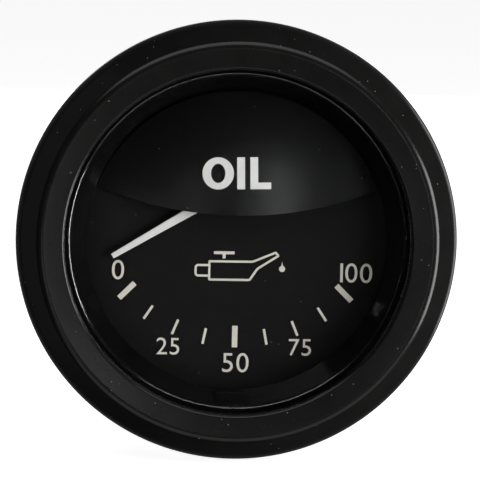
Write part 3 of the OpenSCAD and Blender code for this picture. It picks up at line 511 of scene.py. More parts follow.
def threaded(radius, depth, pitch, y0, y1, centre=(0, 0), chamfer=0.0, steps=48):
    """A threaded rod: one pitch of the thread's outline, in shares of its pitch and depth, is wound
    round the axis as a helix and trimmed square at both ends, and its far end is chamfered"""
    turns = math.ceil((y1 - y0) / pitch) + 2
    bm = bmesh.new()
    outline = [bm.verts.new((radius - depth * (1 - out), y0 + pitch * (part - 1), 0))
               for part, out in thread_outline]
    for pair in zip(outline, outline[1:]):
        bm.edges.new(pair)
    bmesh.ops.spin(bm, geom=bm.verts[:] + bm.edges[:], cent=(0, 0, 0), axis=(0, 1, 0),
                   dvec=(0, pitch / steps, 0), angle=full_turn * turns, steps=steps * turns)
    bmesh.ops.remove_doubles(bm, verts=bm.verts, dist=merge_reach)
    for y, side in ((y0, -1), (y1, 1)):
        trimmed(bm, (0, y, 0), (0, side, 0), reach=merge_reach / 10)
    for corner in bm.verts:
        drawn_in(corner, radius - max(0, chamfer - (y1 - corner.co.y)))
    capped(bm)
    bmesh.ops.recalc_face_normals(bm, faces=bm.faces)
    moved(bm, (centre[0], 0, centre[1]))
    return bm


def own_shape(node):
    """A node's own shape, its loose triangles merged and joined again to flat faces"""
    bm = bmesh.new()
    bm.from_mesh(nodes[node].data)
    bmesh.ops.remove_doubles(bm, verts=bm.verts, dist=same_place)
    bmesh.ops.dissolve_limit(bm, angle_limit=math.radians(0.5), verts=bm.verts, edges=bm.edges)
    return bm


brass = finish("machined_brass", (0.56, 0.38, 0.15), (0.72, 0.52, 0.23), (0.20, 0.36), Metallic=1.0,
               size=0.25 * mm, scratched=0.3, stretch=(1, 1, 0.12))
turned_brass = finish("turned_brass", (0.54, 0.37, 0.15), (0.70, 0.51, 0.23), (0.18, 0.32),
                      Metallic=1.0, pitch=0.09 * mm)
block = own_shape("socket_block")
trimmed(block, (0, case_rear, 0), (0, 1, 0))
capped(block)
piece("socket_body", block, brass, "socket_block", edge=0.15 * mm)
spigot = threaded(fixing_radius, fixing_thread_depth, fixing_pitch, case_rear, inlet_start)
worked(spigot, "UNION", threaded(inlet_radius, pipe_thread_depth, pipe_pitch, inlet_start - overlap,
                                 inlet_end, chamfer=0.7 * mm))
worked(spigot, "DIFFERENCE", rod(passage_radius, case_rear + 1 * mm, inlet_end + 1 * mm, steps=48))
piece("inlet_spigot", spigot, turned_brass, "socket_block", crease=25)


# Spring tube: a flattened phosphor bronze tube, bent round to a C. One end is soldered into the
# socket block and the other, which bends out under pressure, is closed by a brass cap, whose pin
# pulls the link.
spring_bronze = finish("spring_bronze", (0.50, 0.29, 0.13), (0.66, 0.42, 0.21), (0.22, 0.38),
                       Metallic=1.0, relief=0.002 * mm, scratched=0.25)
bright_steel = finish("bright_steel", 0.46, (0.62, 0.62, 0.61), (0.20, 0.36),
                      Metallic=1.0, size=0.12 * mm, relief=0.002 * mm)


def softened(node, material, edge):
    """A node's own shape with its edges broken"""
    piece(f"{node}_shape", own_shape(node), material, node, edge=edge)


spring_tube = piece("bourdon_tube_shape", own_shape("bourdon_tube"), spring_bronze, "bourdon_tube",
                    edge=0.1 * mm, rides=False)
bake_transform(spring_tube)
softened("tip_cap", brass, 0.12 * mm)
softened("tip_pin", bright_steel, 0.08 * mm)


# Movement: two stamped brass plates held apart by pillars and stood on two posts on the socket
# block. Between them a toothed sector on a steel arbor is pulled by the link and turns the
# pinion, and a flat bronze hairspring takes up the play of the teeth.
stamped_brass = finish("stamped_brass", (0.58, 0.40, 0.16), (0.70, 0.51, 0.22), (0.24, 0.40),
                       Metallic=1.0, size=0.35 * mm, stretch=(0.1, 1, 1))
for plate_node in ("movement_front_plate", "movement_back_plate", "link"):
    softened(plate_node, stamped_brass, 0.08 * mm)
softened("sector_gear", stamped_brass, 0.03 * mm)
softened("pinion", turned_brass, 0.02 * mm)
for turned_node in ("movement_pillars", "movement_posts", "hairspring_collet", "hairspring_stud"):
    softened(turned_node, turned_brass, 0.08 * mm)
for steel_node in ("plate_screws", "post_screws", "sector_arbor", "sector_pin"):
    softened(steel_node, bright_steel, 0.06 * mm)
softened("hairspring", spring_bronze, 0.015 * mm)


# Dial seat: a white plastic ring that lies on the case's ledge and carries the dial, which two
# brass posts and two screws tie to the movement.
seat_low, seat_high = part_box("dial_seat_ring")
seat_width = 1.9 * mm
seat_inner_radius = seat_high.x - seat_width
seat_plastic = finish("white_moulded_plastic", (0.74, 0.74, 0.70), (0.82, 0.82, 0.79), (0.4, 0.55),
                      dust=0.1)


def plain_ring(inner, outer, y0, y1, rounding, steps=192, centre=(0, 0), facets=3):
    """A ring of rectangular section, its corners rounded"""
    return turned([(inner, y0, rounding), (outer, y0, rounding), (outer, y1, rounding),
                   (inner, y1, rounding)], steps, centre, facets)


piece("seat_ring", plain_ring(seat_inner_radius, seat_high.x, seat_low.y, seat_high.y, 0.15 * mm),
      seat_plastic, "dial_seat_ring")
softened("dial_posts", turned_brass, 0.1 * mm)
softened("dial_screws", bright_steel, 0.08 * mm)


# Dial: a flat disc of aluminium, painted matt black, with slots for the light windows. The
# scale's nine bars and its numerals are printed on it in warm white ink.
# Painted shade: the dial's colour darkens over its last few millimetres towards the rim. This stands in for
# the shadow that the spacer ring and the bezel cast there.
dial_shade_start = 17.0 * mm
dial_shade_end = 20.7 * mm
dial_shade_most = 0.5
dial_paint = finish("matt_dial_black", (0.0072, 0.0072, 0.0070), (0.0094, 0.0094, 0.0091), (0.55, 0.7),
                    size=0.12 * mm, dust=0.12, scratched=0.25, Specular_IOR_Level=0.05)
# Painted shade near the rim: the dial's paint colour is mixed towards near-black by its distance from the
# axis.
tree = dial_paint.node_tree
shader = tree.nodes["Principled BSDF"]
reach = axis_reach(tree, put(tree, "TexCoord").outputs["Object"])
dial_shade = spread(tree, reach, 0.0, dial_shade_most, dial_shade_start, dial_shade_end)
painted = shader.inputs["Base Color"].links[0].from_socket
tree.links.new(mixed(tree, dial_shade, painted, tint(0.001)), shader.inputs["Base Color"])
print_ink = finish("warm_white_ink", (0.68, 0.645, 0.57), (0.77, 0.73, 0.65), (0.5, 0.65),
                   size=0.15 * mm, relief=0.002 * mm)
for node, look in (("dial", dial_paint), ("scale_marks", print_ink)):
    for slot in nodes[node].material_slots:
        slot.material = look
marks_low, marks_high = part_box("scale_marks")
dial_front = marks_high.y
ink_thickness = marks_high.y - marks_low.y
large_numeral = 2.70 * mm
small_numeral = 2.36 * mm
numeral_share = 0.70
numeral_spacing = 1.06
numeral_thinning = -0.005 * mm


def swung(bm, degrees, axis="X"):
    """Turns a whole shape about one of the axes; 90 degrees about X stand a flat one on its edge"""
    turn = Matrix.Rotation(math.radians(degrees), 3, axis)
    bmesh.ops.rotate(bm, verts=bm.verts, cent=(0, 0, 0), matrix=turn)


def poured(bm, other):
    """Moves the other's whole shape into a bmesh"""
    shape = bpy.data.meshes.new("poured")
    other.to_mesh(shape)
    other.free()
    bm.from_mesh(shape)


def print_number(bm, words, height, x, z):
    """Adds a printed number, centred at x and z on the dial's face"""
    letters = bpy.data.curves.new("numeral", "FONT")
    letters.body = words
    letters.size = height / numeral_share
    letters.space_character = numeral_spacing
    letters.offset = numeral_thinning
    letters.extrude = ink_thickness / 2
    letters.resolution_u = 6
    drawn = placed("numeral", letters)
    shape = bpy.data.meshes.new_from_object(drawn.evaluated_get(bpy.context.evaluated_depsgraph_get()))
    bpy.data.objects.remove(drawn)
    print_bm = bmesh.new()
    print_bm.from_mesh(shape)
    closed(print_bm)
    across = [v.co.x for v in print_bm.verts]
    up = [v.co.y for v in print_bm.verts]
    moved(print_bm, (-(min(across) + max(across)) / 2, -(min(up) + max(up)) / 2, 0))
    swung(print_bm, 90)
    moved(print_bm, (x, dial_front - ink_thickness / 2, z))
    poured(bm, print_bm)


numerals = bmesh.new()
for words, height, x, z in (("0", large_numeral, -16.26, -4.32), ("25", small_numeral, -9.20, -14.85),
                            ("50", large_numeral, 0.17, -17.03), ("75", small_numeral, 9.06, -14.80),
                            ("1", large_numeral, 14.60, -4.33), ("0", large_numeral, 15.95, -4.33),
                            ("0", large_numeral, 18.00, -4.36)):
    print_number(numerals, words, height, x * mm, z * mm)
piece("numerals", numerals, print_ink, "scale_marks", stands=False)


# Oil can sign: a plain oil can with its handle and a falling drop, printed on the dial above the
# scale in the same ink, as a thin outline. Its corners are in units of the sign's size.
sign_line = 0.30 * mm
sign_size = 1.35 * mm
sign_place = Vector((-0.33, 0, -3.30)) * mm
can_back = -2.6
drop_place = Vector((4.95, 0, -0.45))
drop_radius = 0.42 * mm
drop_tail = 0.6 * mm


def outline_shape(corners, rounding=0.0, line=None):
    """A flat shape in the dial's plane, its corners rounded, or only its outline of one width"""
    bm = bmesh.new()
    bm.faces.new([bm.verts.new(Vector((x, 0, z)) * sign_size) for x, z in corners])
    if rounding:
        rounded(bm, bm.verts[:], rounding, 4, "VERTICES")
    if line:
        ring = bmesh.ops.inset_region(bm, faces=bm.faces[:], thickness=line, use_boundary=True,
                                      use_even_offset=True)["faces"]
        bmesh.ops.delete(bm, geom=[face for face in bm.faces if face not in ring], context="FACES")
    return bm


def doubled(flat):
    """Joins a second layer to a flat shape by walls and gives the new layer's corners"""
    new = bmesh.ops.extrude_face_region(flat, geom=flat.faces[:], use_keep_orig=True)["geom"]
    return {v for v in new if isinstance(v, bmesh.types.BMVert)}


can_body = outline_shape([(can_back, -1.75), (1.7, -1.75), (2.5, -0.55), (4.7, 0.85), (4.3, 1.35),
                          (1.9, 0.35), (can_back, 0.35)], 0.22 * mm, sign_line)
handle = outline_shape([(-4.0, -1.35), (-1.6, -1.35), (-1.6, -0.05), (-4.0, -0.05)], 0.5 * mm, sign_line)
trimmed(handle, (can_back * sign_size, 0, 0), (1, 0, 0))
stopper = outline_shape([(-1.15, 0.55), (-0.85, 0.55), (-0.85, 0.98), (0.05, 0.98), (0.05, 1.28),
                         (-2.05, 1.28), (-2.05, 0.98), (-1.15, 0.98)])
drop = bmesh.new()
bmesh.ops.create_circle(drop, cap_ends=True, segments=24, radius=drop_radius)
swung(drop, 90)
max(drop.verts, key=lambda v: v.co.z).co.z += drop_tail
moved(drop, drop_place * sign_size)
sign = bmesh.new()
for flat in (can_body, handle, stopper, drop):
    moved(flat, (sign_place.x, dial_front, sign_place.z))
    bmesh.ops.translate(flat, verts=list(doubled(flat)), vec=(0, -ink_thickness, 0))
    bmesh.ops.recalc_face_normals(flat, faces=flat.faces)
    poured(sign, flat)
piece("oil_can_sign", sign, print_ink, "scale_marks", stands=False)


# Pointer: a thin blade pressed from sheet and painted white, riveted under a black boss on the
# pinion's arbor. Its round-ended tail rests against a steel stop pin in the dial.
pointer_paint = finish("white_pointer_paint", (0.80, 0.79, 0.77), (0.86, 0.85, 0.83), (0.45, 0.6),
                       size=0.2 * mm, relief=0.002 * mm)
softened("pointer_blade", pointer_paint, 0.04 * mm)
boss_paint = finish("black_boss_paint", 0.012, 0.02, (0.4, 0.55), size=0.2 * mm)
softened("pointer_boss", boss_paint, 0.05 * mm)
softened("stop_pin", bright_steel, 0.05 * mm)


# Hood: a shallow domed cover, moulded in satin black plastic, that hides the pointer's hub. Its
# rim stands on the dial, its two pegs go through it, and OIL is printed on it in white.
hood_low, hood_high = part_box("dial_hood")
hood_radius = hood_high.z
hood_front = hood_low.y
hood_edge_z = hood_low.z
hood_wall = 0.6 * mm
dome_radius = 92.25 * mm
edge_arc_radius = 54 * mm
edge_arc_middle = hood_edge_z + edge_arc_radius
hood_columns = 144
hood_rows = 31
peg_radius = 0.8 * mm
peg_angle = math.radians(40.8)
peg_reach = hood_radius - 1.45 * mm
peg_sink = 0.3 * mm


def dome(x, z):
    """Place along Y of the dome's front face"""
    return hood_front + dome_radius - math.sqrt(dome_radius ** 2 - x ** 2 - (z - hood_edge_z) ** 2)


def hood_block(radius, edge_radius, level, rear):
    """The space under the dome inside a rim of that radius and above the curved lower edge, from a
    level behind the dome's front to the rear"""
    corner_z = (radius ** 2 - edge_radius ** 2 + edge_arc_middle ** 2) / (2 * edge_arc_middle)
    corner_x = math.sqrt(radius ** 2 - corner_z ** 2)
    bm = bmesh.new()
    outer = bm.verts.new((corner_x, 0, corner_z))
    bmesh.ops.spin(bm, geom=[outer], cent=(0, 0, 0), axis=(0, -1, 0),
                   angle=math.pi - 2 * math.atan2(corner_z, corner_x), steps=hood_columns)
    lower = bm.verts.new((corner_x, 0, corner_z))
    bmesh.ops.spin(bm, geom=[lower], cent=(0, 0, edge_arc_middle), axis=(0, 1, 0),
                   angle=2 * math.asin(corner_x / edge_radius), steps=hood_columns)
    ribs = bmesh.ops.bridge_loops(bm, edges=bm.edges[:])["edges"]
    bmesh.ops.subdivide_edges(bm, edges=ribs, cuts=hood_rows, use_grid_fill=True)
    bmesh.ops.remove_doubles(bm, verts=bm.verts, dist=same_place)
    front = doubled(bm)
    for corner in bm.verts:
        corner.co.y = dome(corner.co.x, corner.co.z) + level if corner in front else rear
    bmesh.ops.recalc_face_normals(bm, faces=bm.faces)
    return bm


hood = hood_block(hood_radius, edge_arc_radius, 0, dial_front)
worked(hood, "DIFFERENCE", hood_block(hood_radius - hood_wall, edge_arc_radius + hood_wall, hood_wall,
                                      hood_high.y))
peg_places = [(side * peg_reach * math.cos(peg_angle), peg_reach * math.sin(peg_angle)) for side in (-1, 1)]
worked(hood, "UNION", *(rod(peg_radius, dome(*place) + peg_sink, hood_high.y, place, steps=32)
                        for place in peg_places))
capped(hood, sides=4)
hood_plastic = finish("satin_hood_black", 0.0008, 0.0013, (0.20, 0.23), size=0.2 * mm,
                      relief=0.0007 * mm, dust=0.05, Specular_IOR_Level=0.55)
piece("domed_hood", hood, hood_plastic, "dial_hood", edge=0.06 * mm)

letters_place = Vector((-0.09, 0, 9.41)) * mm
letter_tilt = -1.2
letter_lift = 0.03 * mm
letter_sink = 0.02 * mm
half_letter = 2.19 * mm
stem_width = 1.08 * mm
letter_i_left = -0.14 * mm
letter_l_left = 1.66 * mm
foot_right = 4.52 * mm
foot_height = 0.90 * mm
letter_o_middle = -2.74 * mm
letter_o_outside = (2.15 * mm, 2.20 * mm)
letter_o_inside = (0.98 * mm, 1.32 * mm)
letters = bmesh.new()


def add_letter(flat):
    """Lays a flat letter on the dome, with a little thickness"""
    front = doubled(flat)
    swung(flat, letter_tilt, "Y")
    moved(flat, letters_place)
    for corner in flat.verts:
        level = -letter_lift if corner in front else letter_sink
        corner.co.y = dome(corner.co.x, corner.co.z) + level
    bmesh.ops.recalc_face_normals(flat, faces=flat.faces)
    poured(letters, flat)


def add_bar(left, right, top):
    """Adds a bar that stands on the letters' foot line, in enough parts to follow the dome"""
    flat = bmesh.new()
    bmesh.ops.create_grid(flat, x_segments=4, y_segments=4, size=0.5)
    swung(flat, 90)
    bmesh.ops.scale(flat, verts=flat.verts, vec=(right - left, 1, top + half_letter))
    moved(flat, ((left + right) / 2, 0, (top - half_letter) / 2))
    add_letter(flat)


letter_o = bmesh.new()
for half_width, half_height in (letter_o_outside, letter_o_inside):
    loop = bmesh.ops.create_circle(letter_o, segments=64, radius=1.0)["verts"]
    bmesh.ops.scale(letter_o, verts=loop, vec=(half_width, half_height, 1))
bmesh.ops.bridge_loops(letter_o, edges=letter_o.edges[:])
swung(letter_o, 90)
moved(letter_o, (letter_o_middle, 0, 0))
add_letter(letter_o)
add_bar(letter_i_left, letter_i_left + stem_width, half_letter)
add_bar(letter_l_left, letter_l_left + stem_width, half_letter)
add_bar(letter_l_left + stem_width, foot_right, foot_height - half_letter)
letter_paint = finish("white_letter_ink", (0.80, 0.79, 0.77), (0.86, 0.85, 0.83), (0.45, 0.6),
                      size=0.2 * mm, relief=0.002 * mm)
piece("hood_letters", letters, letter_paint, "scale_marks", stands=False)


# Spacer ring: a black plastic ring that holds the glass off the dial. Its rounded mouth is rubbed
# smooth, its inner wall narrows towards the dial, and three smoked blocks in its slots let the
# lamp's light in from behind.
spacer_low, spacer_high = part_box("spacer_ring")
mouth_radius = spacer_high.x - 2.3 * mm
mouth_round = 0.5 * mm
foot_radius = spacer_high.x - 4.4 * mm
ring_plastic = finish("satin_ring_black", 0.002, 0.0035, (0.12, 0.16), size=0.2 * mm,
                      relief=0.001 * mm, Specular_IOR_Level=0.12)
rubbed_plastic = finish("rubbed_ring_edge", 0.002, 0.0035, (0.10, 0.14), size=0.2 * mm,
                        relief=0.0005 * mm, Specular_IOR_Level=1.0)
window_inner = 20.9 * mm
window_outer = 22.3 * mm
window_front = -0.8 * mm
window_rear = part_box("light_windows")[1].y
slot_gap = 0.02 * mm


def square_block(low, high):
    """A square block between two corners"""
    bm = bmesh.new()
    bmesh.ops.create_cube(bm, size=1.0)
    bmesh.ops.scale(bm, verts=bm.verts, vec=Vector(high) - Vector(low))
    moved(bm, (Vector(low) + Vector(high)) / 2)
    return bm


def window_block(angle, width, gap, y0, y1):
    """A block of a light window at an angle in degrees, or its slot where the gap isn't nought"""
    bm = square_block((window_inner - gap, y0, -width / 2 - gap), (window_outer + gap, y1, width / 2 + gap))
    swung(bm, -angle, "Y")
    return bm


windows = [(204, 2.0 * mm), (335, 2.0 * mm), (269, 4.5 * mm)]
spacer = turned([
    (spacer_high.x, spacer_low.y, 0.15 * mm),
    (spacer_high.x, spacer_high.y, 0),
    (foot_radius, spacer_high.y, 0),
    (mouth_radius, spacer_low.y + mouth_round, 0),
    (mouth_radius, spacer_low.y, 0.98 * mouth_round)], steps=256)
worked(spacer, "DIFFERENCE", *(window_block(angle, width, slot_gap, 2 * spacer_low.y, 2 * spacer_high.y)
                               for angle, width in windows))
for face in spacer.faces:
    middle = face.calc_center_median()
    on_round = spacer_low.y + 0.01 * mm < middle.y < spacer_low.y + mouth_round
    if on_round and math.hypot(middle.x, middle.z) < mouth_radius + mouth_round:
        face.material_index = 1
moulded_spacer = piece("moulded_spacer", spacer, ring_plastic, "spacer_ring")
moulded_spacer.data.materials.append(rubbed_plastic)
smoked_plastic = finish("smoked_window", (0.0035, 0.0030, 0.0029), (0.0050, 0.0044, 0.0042), (0.14, 0.20),
                        relief=0.004 * mm, Specular_IOR_Level=0.25)
blocks = bmesh.new()
for angle, width in windows:
    poured(blocks, window_block(angle, width, 0, window_front, window_rear))
piece("window_blocks", blocks, smoked_plastic, "light_windows", edge=0.08 * mm)


# Glass: a flat round pane between the spacer ring and the bezel's lip. A thin rubber gasket
# behind its rim takes up the play against the case's flange.
glass_low, glass_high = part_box("glass")
gasket_low, gasket_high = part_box("glass_gasket")
gasket_width = 1.8 * mm
gasket_inner = gasket_high.x - gasket_width
rubber = finish("matt_black_rubber", 0.010, 0.016, (0.7, 0.85), size=0.2 * mm, relief=0.006 * mm)
piece("gasket_ring", plain_ring(gasket_inner, gasket_high.x, gasket_low.y, gasket_high.y, 0.1 * mm),
      rubber, "glass_gasket")
pane, tree, shader = new_material("clear_glass", Roughness=0.0, IOR=1.5, Transmission_Weight=1.0)
place = put(tree, "TexCoord").outputs["Object"]
streaks = put(tree, "Group", {"Vector": place}, node_tree=grain)
tree.links.new(mixed(tree, streaks.outputs["Broad"], (0.96, 0.975, 0.97, 1), (0.98, 0.985, 0.985, 1)),
               shader.inputs["Base Color"])
path = put(tree, "LightPath").outputs
lets_through = reckon(tree, "MAXIMUM", path["Is Shadow Ray"], path["Is Diffuse Ray"])
clear_pane = put(tree, "BsdfTransparent", {"Color": (0.95, 0.95, 0.95, 1)})
both = put(tree, "MixShader", {0: lets_through, 1: shader.outputs[0], 2: clear_pane.outputs[0]})
tree.links.new(both.outputs[0], tree.nodes["Material Output"].inputs["Surface"])
piece("flat_glass", turned([
    (0, glass_low.y, 0),
    (glass_high.x, glass_low.y, 0.15 * mm),
    (glass_high.x, glass_high.y, 0.15 * mm),
    (0, glass_high.y, 0)], facets=2), pane, "glass")


# Bezel: a ring pressed from steel sheet, with an outer band, a ridge and a turned-in lip, finished
# in satin black enamel. Its rear edge is turned in over the case's flange.
bezel_low, bezel_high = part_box("bezel")
rim_radius = bezel_high.x
rim_round = 3.3 * mm
rear_round = 0.3 * mm
ridge_front = bezel_low.y
ridge_radius = rim_radius - 3.3 * mm
ridge_round = 1.3 * mm
lip_radius = rim_radius - 6.7 * mm
lip_front = ridge_front + 0.4 * mm
lip_round = 0.5 * mm
band_front = ridge_front + 3.384 * mm
ridge_corner_out = 0.055 * mm
ridge_corner_forward = 0.096 * mm
lip_corner_back = 0.076 * mm
seam_radius = neck_radius + 0.1 * mm
bezel_paint = finish("satin_black_enamel", (0.0062, 0.0062, 0.0060), (0.0084, 0.0083, 0.0081),
                     (0.18, 0.22), size=0.22 * mm, dust=0.2, scratched=0.2, Specular_IOR_Level=0.26)
piece("bezel_ring", turned([
    (seam_radius, 0, 0),
    (rim_radius, 0, rear_round),
    (rim_radius, band_front, rim_round),
    (ridge_radius + ridge_corner_out, ridge_front - ridge_corner_forward, ridge_round),
    (lip_radius, lip_front + lip_corner_back, lip_round),
    (lip_radius, glass_low.y, 0),
    (lip_radius + sheet, glass_low.y, 0),
    (lip_radius + sheet, lip_front + lip_round, 0),
    (ridge_radius, ridge_front + sheet, 0),
    (rim_radius - sheet, -sheet, 0),
    (seam_radius, -sheet, 0)], steps=256, facets=8), bezel_paint, "bezel")


# Inlet nut and washer: a red vulcanised fibre washer and a hexagonal brass nut on the spigot's
# larger thread pull the socket block against the case's rear wall.
washer_low, washer_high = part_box("inlet_washer")
nut_low, nut_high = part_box("inlet_nut")
nut_corner_radius = nut_high.x
nut_flat_radius = nut_corner_radius * math.cos(math.radians(30))
nut_chamfer = 0.35 * mm
corner_chamfer = (nut_corner_radius - nut_flat_radius + nut_chamfer) / 2
washer_bore = fixing_radius + 0.03 * mm
nut_bore = fixing_radius + 0.02 * mm
front_sink = 0.2 * mm
rear_sink = 0.4 * mm
beyond = 1 * mm
red_fibre = finish("red_vulcanised_fibre", (0.24, 0.055, 0.032), (0.36, 0.095, 0.055), (0.55, 0.75),
                   size=0.25 * mm, relief=0.012 * mm)
piece("fibre_washer", turned([
    (washer_bore, washer_low.y, 0),
    (washer_high.x, washer_low.y, 0.15 * mm),
    (washer_high.x, washer_high.y, 0.15 * mm),
    (washer_bore, washer_high.y, 0)], steps=128, facets=3), red_fibre, "inlet_washer")
hexagon = bmesh.new()
bmesh.ops.create_cone(hexagon, cap_ends=True, segments=6, radius1=nut_corner_radius,
                      radius2=nut_corner_radius, depth=nut_high.y - nut_low.y)
swung(hexagon, 30, "Z")
swung(hexagon, 90)
moved(hexagon, (0, (nut_low.y + nut_high.y) / 2, 0))
worked(hexagon, "INTERSECT", turned([
    (0, nut_low.y, 0),
    (nut_flat_radius - nut_chamfer, nut_low.y, 0),
    (nut_corner_radius, nut_low.y + corner_chamfer, 0),
    (nut_corner_radius, nut_high.y - corner_chamfer, 0),
    (nut_flat_radius - nut_chamfer, nut_high.y, 0),
    (0, nut_high.y, 0)], steps=96))
worked(hexagon, "DIFFERENCE", turned([
    (0, nut_low.y - beyond, 0),
    (nut_bore + beyond, nut_low.y - beyond, 0),
    (nut_bore, nut_low.y + front_sink, 0),
    (nut_bore, nut_high.y - rear_sink, 0),
    (nut_bore + rear_sink + beyond, nut_high.y + beyond, 0),
    (0, nut_high.y + beyond, 0)], steps=96))
piece("hexagon_nut", hexagon, turned_brass, "inlet_nut", edge=0.05 * mm, crease=25)


# Clamp studs: two zinc-plated steel studs, threaded M4. Their heads are riveted inside the case's
# rear wall.
stud_pitch = 0.7 * mm
stud_thread_depth = 0.43 * mm
stud_thread_start = case_rear - sheet - 0.2 * mm
zinc_plate = finish("zinc_plate", (0.44, 0.44, 0.41), (0.60, 0.60, 0.56), (0.26, 0.42), Metallic=1.0,
                    size=0.4 * mm, relief=0.004 * mm, dust=0.1)
hands = ((-1, "left"), (1, "right"))
for side, hand in hands:
    stud = rod(stud_head_radius, stud_low.y, case_rear - sheet, (side * stud_x, 0), chamfer=0.2 * mm)
    worked(stud, "UNION", threaded(stud_radius, stud_thread_depth, stud_pitch, stud_thread_start,
                                   stud_high.y, (side * stud_x, 0), chamfer=0.5 * mm, steps=36))
    piece(f"stud_{hand}", stud, zinc_plate, "clamp_studs", crease=25)


# Clamp bracket: a U-shaped strap bent from zinc-plated steel strip, with a ring in its bar that
# clears the inlet. It slides on the studs, and its two legs bear on the back of the panel.
bracket_low, bracket_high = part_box("clamp_bracket")
strip = 1.5 * mm
leg_half_width = 6.0 * mm
bend_outer = 2.4 * mm
bar_rear = bracket_high.y
foot_round = 1.0 * mm
bar_ring_radius = bracket_high.z
bar_hole_radius = bar_ring_radius - 2.0 * mm
stud_hole_radius = stud_radius + 0.3 * mm
rolled_zinc = finish("rolled_zinc_plate", (0.46, 0.46, 0.43), (0.60, 0.60, 0.56), (0.28, 0.44),
                     Metallic=1.0, size=0.35 * mm, relief=0.004 * mm, dust=0.15, scratched=0.4,
                     stretch=(0.12, 0.12, 1))
strap = bmesh.new()
foot = [strap.verts.new((bracket_high.x, bracket_low.y, z)) for z in (-leg_half_width, leg_half_width)]
pen = [strap.edges.new(foot)]


def drawn_on(edges, way):
    """Extrudes the strap's edges by a way and gives the new ones"""
    new = bmesh.ops.extrude_edge_only(strap, edges=edges)["geom"]
    bmesh.ops.translate(strap, verts=[v for v in new if isinstance(v, bmesh.types.BMVert)], vec=way)
    return [e for e in new if isinstance(e, bmesh.types.BMEdge)]


def bent_on(edges, middle):
    """Turns the strap's edges a quarter turn about a line along Z and gives the last ones"""
    ends = list({v for e in edges for v in e.verts})
    new = bmesh.ops.spin(strap, geom=ends + edges, cent=middle, axis=(0, 0, 1), angle=full_turn / 4,
                         steps=10)["geom_last"]
    return [e for e in new if isinstance(e, bmesh.types.BMEdge)]


bend_x = bracket_high.x - bend_outer
bend_y = bar_rear - bend_outer
pen = drawn_on(pen, (0, bend_y - bracket_low.y, 0))
pen = bent_on(pen, (bend_x, bend_y, 0))
pen = drawn_on(pen, (-2 * bend_x, 0, 0))
pen = bent_on(pen, (-bend_x, bend_y, 0))
drawn_on(pen, (0, bracket_low.y - bend_y, 0))
closed(strap)
if sum(face.normal.dot(face.calc_center_median() - Vector((0, bend_y, 0))) for face in strap.faces) < 0:
    bmesh.ops.reverse_faces(strap, faces=strap.faces)
bmesh.ops.solidify(strap, geom=strap.faces[:], thickness=strip)
foot_corners = edges_at(strap, lambda at: meet(at.y, bracket_low.y) and meet(abs(at.z), leg_half_width))
rounded(strap, foot_corners, foot_round, 6)
worked(strap, "UNION", rod(bar_ring_radius, bar_rear - strip, bar_rear, steps=128))
worked(strap, "DIFFERENCE", rod(bar_hole_radius, bar_rear - 2 * strip, bar_rear + strip, steps=128),
       *stud_rods(stud_hole_radius, bar_rear - 2 * strip, bar_rear + strip))
piece("clamp_strap", strap, rolled_zinc, "clamp_bracket", edge=0.12 * mm)


# Spring washers: two split rings of square steel wire, zinc-plated. Pressed nearly flat under the
# thumb nuts, they keep them from working loose.
split_low, split_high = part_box("spring_washers")
split_radius = split_high.x - stud_x
split_gap = 0.7 * mm
wire_round = 0.08 * mm
saw_reach = 2 * mm
splits = bmesh.new()
for side in (-1, 1):
    ring = plain_ring(stud_hole_radius, split_radius, split_low.y, split_high.y, wire_round,
                      steps=96, centre=(side * stud_x, 0), facets=2)
    saw = square_block((side * stud_x - split_gap / 2, split_low.y - saw_reach, 0),
                       (side * stud_x + split_gap / 2, split_low.y + saw_reach, 2 * split_radius))
    worked(ring, "DIFFERENCE", saw)
    poured(splits, ring)
piece("split_washers", splits, zinc_plate, "spring_washers")


# Clamp nuts: two turned brass thumb nuts with a small collar and a straight-knurled grip. Turned
# on the studs, they draw the bracket against the panel.
knurl_count = 36
knurl_depth = 0.35 * mm
knurl_facets = 6
collar_radius = 4.2 * mm
collar_height = 0.8 * mm
grip_chamfer = 0.45 * mm
grip_skin = 0.5 * mm
bore_radius = stud_radius + 0.06 * mm
bore_chamfer = 0.5 * mm
for side, hand in hands:
    node = f"clamp_nut_{hand}"
    low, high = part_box(node)
    grip_radius = (high.x - low.x) / 2
    grip_front = low.y + collar_height
    nut = turned([
        (bore_radius, low.y, 0),
        (collar_radius, low.y, 0.15 * mm),
        (collar_radius, grip_front, 0),
        (grip_radius - grip_chamfer, grip_front, 0),
        (grip_radius, grip_front + grip_chamfer, 0.1 * mm),
        (grip_radius, high.y - grip_chamfer, 0.1 * mm),
        (grip_radius - grip_chamfer, high.y, 0),
        (bore_radius + bore_chamfer, high.y, 0),
        (bore_radius, high.y - bore_chamfer, 0)], steps=knurl_count * knurl_facets, facets=2)
    for corner in nut.verts:
        if math.hypot(corner.co.x, corner.co.z) > grip_radius - grip_skin:
            turn = math.atan2(corner.co.z, corner.co.x) * knurl_count / 2
            drawn_in(corner, grip_radius - knurl_depth * (1 - abs(math.cos(turn))))
    moved(nut, (side * stud_x, 0, 0))
    nut_brass = finish(f"knurled_brass_{hand}", (0.56, 0.39, 0.16), (0.70, 0.51, 0.23), (0.20, 0.34),
                       Metallic=1.0, dust=0.1, pitch=0.09 * mm, centre=(side * stud_x, 0, 0))
    piece(f"thumb_nut_{hand}", nut, nut_brass, node, crease=25)


